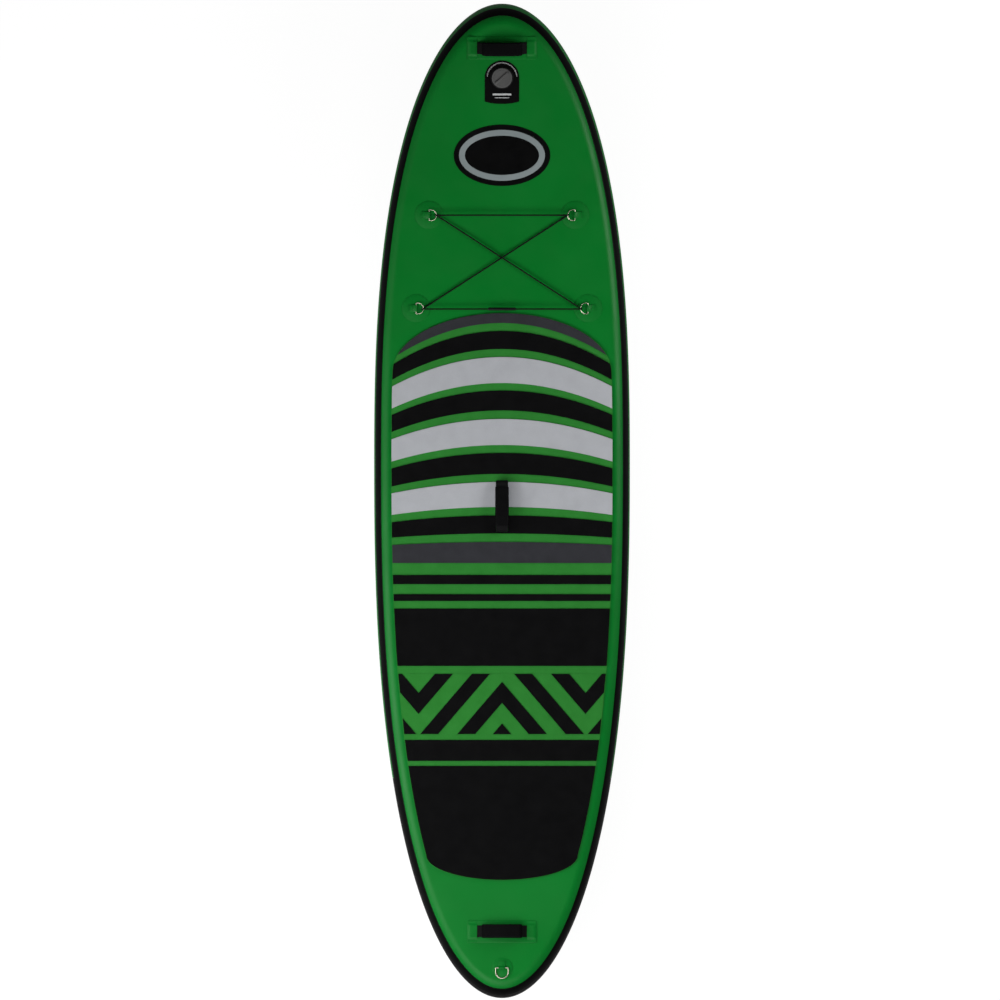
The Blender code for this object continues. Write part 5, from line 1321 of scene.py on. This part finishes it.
def makeGrip(name, line, place, body, node):
    steps = handle["gripSteps"]
    alongs = [handle["gripLong"] / 2 * (1 - 2 * share) for share in shares(steps)]
    spots = [Vector((along, 0, lineHeight(line, abs(along)))) for along in alongs]
    places = frames(spots, side=Vector((0, -1, 0)))
    endWide, endTall = handle["gripEnd"]
    sections, rows = [], {-1: [], 1: []}
    for i, (spot, _, across, normal) in enumerate(places):
        toEnd = min(1.0, min(i, steps - i) / 3)
        ease = math.sin(math.pi / 2 * (handle["gripStart"] + (1 - handle["gripStart"]) * toEnd))
        tall = endTall + (1 - endTall) * ease
        sections.append(gripSection(endWide + (1 - endWide) * ease, tall))
        rise = normal * (handle["gripThick"] / 2 * handle["seamHigh"] * tall)
        for side in rows if 2 <= i <= steps - 2 else ():
            seam = spot + across * side * handle["seam"] + rise
            rows[side].append((place @ seam, place.to_3x3() @ normal))
    grip = stand(paint(sweep(name, places, sections), gripFoam, 60), place)
    finishPiece(grip, body, node)
    stitchRows(name + "Stitches", list(rows.values()), body, node)


def gridEdge(rows):
    # the corners round a grid
    ends = [line[-1] for line in rows[:-1]], [line[0] for line in rows[:0:-1]]
    return rows[0][:-1] + ends[0] + rows[-1][:0:-1] + ends[1]


def makeCover(name, y, side, top):
    # swells over the strap's foot
    wide, end = handle["patchWide"], handle["patchLong"] / 2
    margin, inner = handle["coverRim"], end - handle["cover"]
    grid = []
    for share in shares(8):
        x = inner + (end - margin - inner) * share
        closing = eased(1 - (x - (end - handle["closeFrom"])) / handle["closeRun"])
        line = []
        for part in shares(32):
            across = margin - wide / 2 + (wide - 2 * margin) * part
            flat = (abs(across) - handle["webWide"] / 2 - handle["coverFlat"]) / handle["coverSlope"]
            swell = eased(1 - flat) * closing
            line.append((side * x, y + across, top + (handle["web"] + 2 * gap) * swell))
        grid.append(line)
    shape = bmesh.new()
    layers = []
    for rise in handle["coverThick"]:
        layers.append([corners(shape, [(x, v, z + rise) for x, v, z in line]) for line in grid])
    for layer in layers:
        for first, second in zip(layer, layer[1:]):
            strip(shape, first, second)
    strip(shape, *map(gridEdge, layers), closed=True)
    return closeShape(name + "Cover", shape)


def makePatch(name, y, node):
    # a welded sheet with a cover at each end
    low = half + gap
    top = low + handle["sheet"]
    outline = roundedRectangle(handle["patchLong"], handle["patchWide"], handle["corner"], y=y)
    pieces = [cutSheet(name + "Sheet", [outline], low, top, handle["edge"])]
    pieces += [makeCover(name, y, side, top) for side in (1, -1)]
    finishPiece(layPiece(join(name, pieces), patchGreen, 45), "board", node)


def makeHandles():
    for label in ("nose", "tail", "centre"):
        y = planY(handle[label + "At"], half)
        centre = label == "centre"
        words = ("Front", "Rear") if centre else ("Right", "Left")
        place = seat(0, y, half, math.radians(90) if centre else 0.0)
        line, bend = (curledLine(), handle["centreBend"]) if centre else (patchedLine(), handle["bend"])
        body, node = label + "_grip", label + "_handle_strap"
        if not centre:
            makePatch(label + "Patch", y, label + "_handle_patch")
        for side, word in zip((1, -1), words):
            strapHalf(label + "Strap" + word, line, place, side, body, node, bend)
        makeGrip(label + "Grip", line, place, body, label + "_handle_grip")


makeHandles()
print("handles are on")


# Rings, their patches and the bungee

ring = {
    "wire": 0.0015, "bar": 0.038, "reach": 0.028, "patch": 0.045, "sheet": 0.0012, "tilt": 15.0,
    "barShare": 0.9, "cornerShare": 0.1, "leastSide": 0.15, "boreShare": 0.9, "foldRise": 2.2,
    "edge": 0.0003, "front": (0.2354, 0.6778), "rear": (0.2770, 0.9785), "lift": 0.0004, "loopHalf": 0.011,
    "loopSheet": 0.0014, "loopTail": 0.024, "loopFold": 0.006, "loopRoom": 0.0004, "sink": 0.0002,
    "seams": (-0.0205, -0.0115), "seamSpots": (-0.0085, -0.003, 0.003, 0.0085), "seamLift": 0.0001,
    "seamPitch": 0.0034, "seamStitch": (0.0027, 0.0008, 0.0006), "leashWire": 0.0020, "leashBar": 0.045,
    "leashReach": 0.038, "leashPatch": 0.034, "leashAt": 3.1036, "leashLift": 0.00104,
}


def barHeight(wire):
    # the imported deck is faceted, so the hinge lines stand a little above this smooth one
    lift = ring["leashLift"] if wire == ring["leashWire"] else ring["lift"]
    return gap + ring["sheet"] - ring["sink"] + ring["loopSheet"] + ring["loopRoom"] + wire + lift


def ringPlace(x, y, wire, yaw, tilt):
    raised = Matrix.Translation((0, 0, barHeight(wire)))
    return seat(x, y, half, yaw) @ raised @ Matrix.Rotation(-tilt, 4, "Y")


def makeRing(name, bar, reach, wire, place, body, node):
    wide, far = bar / 2 - wire, reach - 2 * wire
    straight = max(far - wide, far * ring["leastSide"])
    end, corner = wide * ring["barShare"], wide * ring["cornerShare"]
    points = [(0, -end), (0, 0), (0, end), (corner, wide)]
    for share in shares(24):
        ahead, side = polar(far - straight, 90 - 180 * share, wide)
        points.append((straight + ahead, side))
    points.append((corner, -wide))
    line = softened([Vector((x, y, 0)) for x, y in points], closed=True)
    obj = paint(sweep(name, frames(line, True), circle(wire, 12), closed=True), steelWire, 80)
    finishPiece(stand(obj, place), body, node)


def makeRingPatch(name, x, y, radius, wire, yaw, node):
    low, tail, sheet, edge = half + gap, ring["loopTail"], ring["loopSheet"], ring["edge"]
    disc = cutSheet(name + "Disc", [oval(y, radius, radius, 72, x=x)], low, low + ring["sheet"], edge)
    bar = barHeight(wire)
    bore = wire + ring["loopRoom"] * ring["boreShare"]
    outer = wire + ring["loopRoom"] + sheet
    foot = gap + ring["sheet"] - ring["sink"]
    arc = [polar(outer, angle) for angle in range(-60, 121, 12)]
    outline = [(across, bar + up) for across, up in arc]
    outline += [(-ring["loopFold"], foot + ring["foldRise"] * sheet), (-tail, foot + 2 * sheet)]
    outline += [(-tail, foot), (outer * 0.5, foot)]
    hole = [(across, bar + up) for across, up in circle(bore, 18)]
    loop = cutSheet(name + "Loop", [outline, hole], -ring["loopHalf"], ring["loopHalf"], edge)
    turn = Matrix.Translation((x, y, half)) @ Matrix.Rotation(yaw, 4, "Z")
    stand(loop, turn @ Matrix.Rotation(math.radians(90), 4, "X"))
    finishPiece(layPiece(join(name, [disc, loop]), patchGreen, 45), "board", node)
    high = half + foot + 2 * sheet + ring["seamLift"]
    up = seat(x, y, half).to_3x3() @ Vector((0, 0, 1))
    paths = []
    for along in ring["seams"]:
        ends = [turn @ Vector((along, across, 0)) for across in ring["seamSpots"]]
        paths.append([(lay(end.x, end.y, high), up) for end in ends])
    stitchRows(name + "Stitches", paths, "board", node, ring["seamPitch"], ring["seamStitch"])


def ringSites():
    made = {}
    for line in ("front", "rear"):
        across, distance = ring[line]
        for word, sign, yaw in (("right", 1, math.pi), ("left", -1, 0.0)):
            made[f"{line}_{word}"] = (sign * across, planY(distance, half), yaw)
    return made


def makeRings():
    wire = ring["wire"]
    for name, (x, y, yaw) in ringSites().items():
        makeRingPatch(name + "_patch", x, y, ring["patch"], wire, yaw, name + "_ring_patch")
        place = ringPlace(x, y, wire, yaw, math.radians(ring["tilt"]))
        makeRing(name + "_wire", ring["bar"], ring["reach"], wire, place, name + "_d_ring", name + "_ring")
    y = planY(ring["leashAt"], half)
    yaw, wire = math.radians(-90), ring["leashWire"]
    makeRingPatch("leash_patch", 0, y, ring["leashPatch"], wire, yaw, "leash_ring_patch")
    fall = barHeight(wire) - wire - gap - ring["sheet"] - gap
    place = ringPlace(0, y, wire, yaw, -math.asin(fall / (ring["leashReach"] - wire)))
    makeRing("leash_wire", ring["leashBar"], ring["leashReach"], wire, place, "leash_d_ring", "leash_ring")


cord = {
    "radius": 0.0023, "room": 0.0014, "sidestep": 0.0012, "bow": 0.0026, "bowRun": 0.024, "bowWide": 1.3,
    "bowSteps": (-3, -2, -1, -0.5, 0, 0.5, 1, 2, 3), "corner": 0.08, "step": 0.012, "cornerStep": 0.002,
    "nearest": 0.0004, "blend": (0.060, 0.004),
}
sleeve = {"length": 0.090, "inner": 0.0026, "outer": 0.0048, "round": 0.0012}


def roundRing(site, arrival, departure, rises):
    x, y, yaw = site
    place = ringPlace(x, y, ring["wire"], yaw, math.radians(ring["tilt"]))
    apex = place @ Vector((ring["reach"] - 2 * ring["wire"], 0, 0))
    up = (place.to_3x3() @ Vector((0, 0, 1))).normalized()
    radius = ring["wire"] + cord["radius"] + cord["room"]
    points = []
    for share in shares(12):
        near, tall = polar(radius, (180 * share - 90) * (1 if rises else -1))
        inward = arrival.lerp(departure, share).normalized()
        aside = (departure - arrival).normalized() * cord["sidestep"] * (2 * share - 1)
        points.append(apex - inward * near + up * tall + aside)
    return points, apex


def bungeeRoute(turns):
    # the cord's middle line round the four rings, and where each turn starts and ends
    start, end = turns[0][0], turns[-1][-1]
    along = (start - end).normalized()
    centre = (start + end) / 2
    route = [centre + along * cord["radius"] * 0.5]
    marks = []
    for points, bow in zip(turns, (0, -cord["bow"], 0, cord["bow"])):
        before, after = route[-1], points[0]
        if bow:
            share = before.x / (before.x - after.x)
            run = cord["bowRun"] / (after - before).length
            for step in cord["bowSteps"]:
                lift = bow * math.exp(-(step / cord["bowWide"]) ** 2)
                route.append(before.lerp(after, share + run * step) + Vector((0, 0, lift)))
        else:
            route += [before.lerp(after, 1 / 3), before.lerp(after, 2 / 3)]
        marks.append((len(route), len(route) + len(points) - 1))
        route += points
    last = centre - along * cord["radius"] * 0.5
    return route + [route[-1].lerp(last, 0.5), last], marks, centre, along


def stretch(route, runs, low, high, step):
    # points of the route between two lengths along it, no further apart than the step
    count = max(2, math.ceil((high - low) / step))
    even = {low + (high - low) * share for share in shares(count)}
    lengths = sorted(even | {run for run in runs if low < run < high})
    kept = [lengths[0]]
    for length in lengths[1:-1]:
        if length - kept[-1] > cord["nearest"]:
            kept.append(length)
    points = []
    for length in kept + [high]:
        i = next((i for i in range(len(runs) - 1) if length <= runs[i + 1]), len(runs) - 2)
        points.append(route[i].lerp(route[i + 1], (length - runs[i]) / max(runs[i + 1] - runs[i], 1e-9)))
    return points


def cordPiece(name, line, start):
    return paint(sweep(name, frames(line), circle(cord["radius"]), start=start), cordBlack, 80)


def makeBungee():
    sites = ringSites()
    order = ["rear_right", "front_left", "front_right", "rear_left"]
    spots = [lay(*sites[name][:2], half) for name in order]
    middle = (spots[0] + spots[3]) / 2
    stops = [middle, *spots, middle]
    turns, apexes = [], []
    for i, name in enumerate(order):
        ways = [(stops[i + step] - stops[i + 1]).normalized() for step in (0, 2)]
        points, apex = roundRing(sites[name], *ways, i % 2 == 1)
        turns.append(points)
        apexes.append(apex)
    route, marks, centre, along = bungeeRoute(turns)
    runs = [0.0]
    for first, second in zip(route, route[1:]):
        runs.append(runs[-1] + (second - first).length)
    bends = [(runs[first] - cord["corner"], runs[last] + cord["corner"]) for first, last in marks]
    edges = [0.0] + [value for pair in bends for value in pair] + [runs[-1]]
    for i in range(0, len(edges), 2):
        line = stretch(route, runs, edges[i], edges[i + 1], cord["step"])
        finishPiece(cordPiece(f"bungeeRun{i // 2 + 1}", line, edges[i]), "board", "bungee_cord")
    for (low, high), name, apex in zip(bends, order, apexes):
        line = softened(stretch(route, runs, low, high, cord["cornerStep"]), 1)
        inward = Vector((-1 if apex.x > 0 else 1, 0, 0))
        ends = [apex + inward * reach for reach in cord["blend"]]
        turn = cordPiece("bungeeTurn_" + name, line, low)
        blendPiece(turn, "webbing", "bungee_cord", name + "_d_ring", *ends)
    side, edge, inner, outer = sleeve["length"] / 2, sleeve["round"], sleeve["inner"], sleeve["outer"]
    line = [(outer - edge, side), (outer - 0.3 * edge, side - 0.3 * edge), (outer, side - edge)]
    line += [(x, -z) for x, z in line[::-1]] + [(inner, -side), (inner, side)]
    turn = Vector((0, 0, 1)).rotation_difference(along).to_matrix().to_4x4()
    tube = stand(paint(lathe("bungeeSleeve", line, 28), mouldedBlack), Matrix.Translation(centre) @ turn)
    finishPiece(tube, "board", "bungee_sleeve")
    print("bungee length in metres:", round(runs[-1], 3))


makeRings()
makeBungee()
print("rings and bungee are on")


# Fins and the slide-in box

fins = {
    "boxAt": 2.730, "low": -0.0268, "depth": 0.140, "front": 0.0575, "back": -0.0835, "sweep": 0.090,
    "thick": 0.0094, "sideAt": 2.600, "sideX": 0.185, "sideDepth": 0.085, "sideBase": 0.110,
    "sideSweep": 0.055, "sideThick": 0.008, "sections": 26, "leadPower": 1.5, "trailSweep": 0.62,
    "trailPower": 0.8, "thinning": 0.6, "tipFrom": 0.75, "tipRun": 0.27, "tipLeast": 0.16,
    "tipMiddle": 0.62,
    "leaf": ((0.0, 0.0), (0.02, 0.42), (0.06, 0.62), (0.12, 0.78), (0.2, 0.9), (0.3, 0.98), (0.42, 1.0),
             (0.55, 0.92), (0.68, 0.74), (0.8, 0.5), (0.9, 0.28), (1.0, 0.1)),
    "flange": (0.090, 0.300, 0.018), "sheet": 0.0025, "edge": 0.0006, "ridge": (0.034, 0.270, 0.010),
    "ridgeEdge": 0.0001, "ridgeSink": 0.001, "ridgeTaper": (0.004, 0.86, 0.985),
    "sideSheet": (0.046, 0.138, 0.014, -0.006),
    # half width, ends along the board, ends above the box's low face
    "slot": (0.0049, (-0.123, 0.123), (-0.01, 0.022)), "groove": (0.007, (-0.123, 0.123), (0.008, 0.014)),
    "tab": (0.0046, (-0.0835, 0.0615), (-0.0013, 0.0217)),
    "lug": (0.0046, (0.0575, 0.0835), (-0.0003, 0.0074)), "screwAt": 0.0725,
    "screwHole": (0.0023, -0.02, 0.03), "pinHole": (0.0025, -0.02, 0.02), "pinAt": (0.012, 0.011),
    "shank": ((0, 0.015), (0.0016, 0.015), (0.0019, 0.0145)),
    "head": ((0.0019, 0), (0.0062, 0), (0.0066, -0.0005), (0.0066, -0.0042), (0.0060, -0.0050),
             (0.003, -0.0050), (0.0024, -0.0044), (0, -0.0044)),
    "headRadius": 0.0066, "ribFall": 0.0024, "ribPitch": 0.00172, "rib": (0.0008, 0.0034, 0.0008),
    "ribSink": 0.0001,
}


def finBox(key):
    wide, (back, front), (low, high) = fins[key]
    return boxAt((-wide, back, fins["low"] + low), (wide, front, fins["low"] + high))


def makeBlade(name, front, back, depth, swept, thick, top):
    rings = []
    for share in shares(fins["sections"]):
        lead = front - swept * share ** fins["leadPower"]
        trail = back - swept * fins["trailSweep"] * share ** fins["trailPower"]
        past = share - fins["tipFrom"]
        if past > 0:
            squeeze = max(fins["tipLeast"], math.sqrt(max(0.0, 1 - (past / fins["tipRun"]) ** 2)))
            centre = lead - (lead - trail) * fins["tipMiddle"]
            lead, trail = centre + (lead - centre) * squeeze, centre + (trail - centre) * squeeze
        wide = thick / 2 * (1 - fins["thinning"] * share)
        right = [(wide * width, lead - (lead - trail) * behind) for behind, width in fins["leaf"]]
        outline = mirrored(right)
        rings.append([(x, y, top - depth * share) for x, y in outline])
    return loft(name, rings)


def makeBox():
    low, top = fins["low"], -gap - fins["sheet"]
    box = cutSheet("finBox", [roundedRectangle(*fins["flange"])], top, -gap, fins["edge"])
    ridgeTop = top + fins["ridgeSink"]
    ridge = cutSheet("finRidge", [roundedRectangle(*fins["ridge"])], low, ridgeTop, fins["ridgeEdge"])
    tall, across, along = fins["ridgeTaper"]
    for vertex in ridge.data.vertices:
        if vertex.co.z < low + tall:
            vertex.co.x *= across
            vertex.co.y *= along
    boolean(box, ridge, "UNION")
    boolean(box, finBox("slot"))
    return boolean(box, finBox("groove"))


def makeCentreFin():
    low, front, back = fins["low"], fins["front"], fins["back"]
    blade = makeBlade("centreFin", front, back, fins["depth"], fins["sweep"], fins["thick"], low - gap)
    for key in ("tab", "lug"):
        boolean(blade, finBox(key), "UNION")
    radius, below, above = fins["screwHole"]
    turn = Matrix.Translation((0, fins["screwAt"], 0))
    boolean(blade, stand(rod(radius, low + below, low + above, 24), turn))
    ahead, up = fins["pinAt"]
    turn = Matrix.Translation((0, back + ahead, low + up)) @ Matrix.Rotation(math.radians(90), 4, "Y")
    return boolean(blade, stand(rod(*fins["pinHole"], 24), turn))


def makeFins():
    place = seat(0, planY(fins["boxAt"]), -half)
    finishPiece(stand(paint(makeBox(), mouldedBlack), place), "board", "fin_box")
    blade = stand(paint(makeCentreFin(), mouldedBlack, 40), place)
    finishPiece(blade, "fin", "centre_fin")

    top = fins["low"] - 2 * gap
    line = [(x, fins["low"] + z) for x, z in fins["shank"]] + [(x, top + z) for x, z in fins["head"]]
    place = place @ Matrix.Translation((0, fins["screwAt"], 0))
    screw = stand(paint(lathe("thumbScrew", line, 48), brassTurned), place)
    finishPiece(screw, "thumb_screw", "fin_screw")
    size = (brassTurned, fins["ribPitch"], fins["rib"], fins["ribSink"])
    ribs = ribRing("screwRibs", place, fins["headRadius"], top - fins["ribFall"], 24, *size)
    finishPiece(ribs, "thumb_screw", "fin_screw")

    base, thick = fins["sideBase"] / 2, fins["sheet"]
    for side, word in ((1, "right"), (-1, "left")):
        foot = roundedRectangle(*fins["sideSheet"])
        wing = cutSheet(word + "Fin", [foot], -gap - thick, -gap, fins["edge"])
        size = (fins["sideDepth"], fins["sideSweep"], fins["sideThick"])
        boolean(wing, makeBlade("wing", base, -base, *size, -gap - thick / 2), "UNION")
        spot = seat(side * fins["sideX"], planY(fins["sideAt"]), -half)
        stand(paint(wing, mouldedBlack, 40), spot)
        finishPiece(wing, "board", word + "_side_fin")


makeFins()
print("fins are in")


# Inside the board: two woven sheets and the yarns that tie them

core = {
    "inset": 0.070, "end": 0.150, "sheet": 0.0008, "edge": 0.0001, "pitch": 0.030, "yarn": 0.0016,
    "hole": 0.040, "width": 0.8,
}


def yarnTree():
    labels = {"Pitch": 0.03, "Length": 3.0, "Width": 0.8, "Height": 0.14, "Yarn": 0.0016}
    tree, given = startTree("dropStitchYarns", labels)
    inputs = {"Size X": given["Width"], "Size Y": given["Length"]}
    for label, key in (("Width", "Vertices X"), ("Length", "Vertices Y")):
        gaps = calc(tree, "FLOOR", calc(tree, "DIVIDE", given[label], given["Pitch"]))
        inputs[key] = calc(tree, "ADD", gaps, 1.0)
    grid = output(tree, "GeometryNodeMeshGrid", inputs)
    ray = {"Target Geometry": given["Geometry"], "Ray Direction": (0, 0, 1), "Ray Length": 1.0}
    miss = calc(tree, "SUBTRACT", 1.0, output(tree, "GeometryNodeRaycast", ray))
    inputs = {"Geometry": grid, "Selection": miss}
    trimmed = output(tree, "GeometryNodeDeleteGeometry", inputs, domain="POINT")
    inputs = {"Vertices": 5, "Radius": given["Yarn"], "Depth": given["Height"]}
    post = output(tree, "GeometryNodeMeshCylinder", inputs)
    spots = output(tree, "GeometryNodeInstanceOnPoints", {"Points": trimmed, "Instance": post})
    both = addNode(tree, "GeometryNodeJoinGeometry", {0: spots})
    feed(tree, both.inputs[0], given["Geometry"])
    return endTree(tree, given, both.outputs[0])


def makeCore():
    end, sheet, hole = boardShape["halfLength"] - core["end"], core["sheet"], core["hole"]
    levels = [end * (2 * share - 1) for share in shares(60)]
    outline = mirrored([(insetHalfWidth(y, core["inset"]), y) for y in levels])
    top = half - boardShape["skin"] - gap
    sheets = []
    for ends in ((top - sheet, top), (-top, sheet - top)):
        outlines = [outline, oval(valveSpot, hole, hole, 36)]
        sheets.append(intoStrips(cutSheet("weave", outlines, *ends, core["edge"])))
    sizes = {"length": 2 * end, "width": core["width"], "height": 2 * top - sheet, "yarn": core["yarn"]}
    weave = join("dropStitchCore", sheets)
    obj = bakeTree(weave, yarnTree(), material=yarnWhite, pitch=core["pitch"], **sizes)
    finishPiece(layPiece(obj, yarnWhite), "board", "drop_stitch_core")


makeCore()

keptParts = {
    "valve_nut": mouldedBlack, "valve_gasket": rubberBlack, "valve_stem": mouldedBlack,
    "valve_cap_seal": rubberBlack, "fin_pin": brassTurned, "fin_nut_plate": brassTurned,
}
for node, material in keptParts.items():
    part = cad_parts[node]
    if not part.material_slots:
        part.data.materials.append(material)
    for materialSlot in part.material_slots:
        materialSlot.material = material
print("inner parts have their finishes")
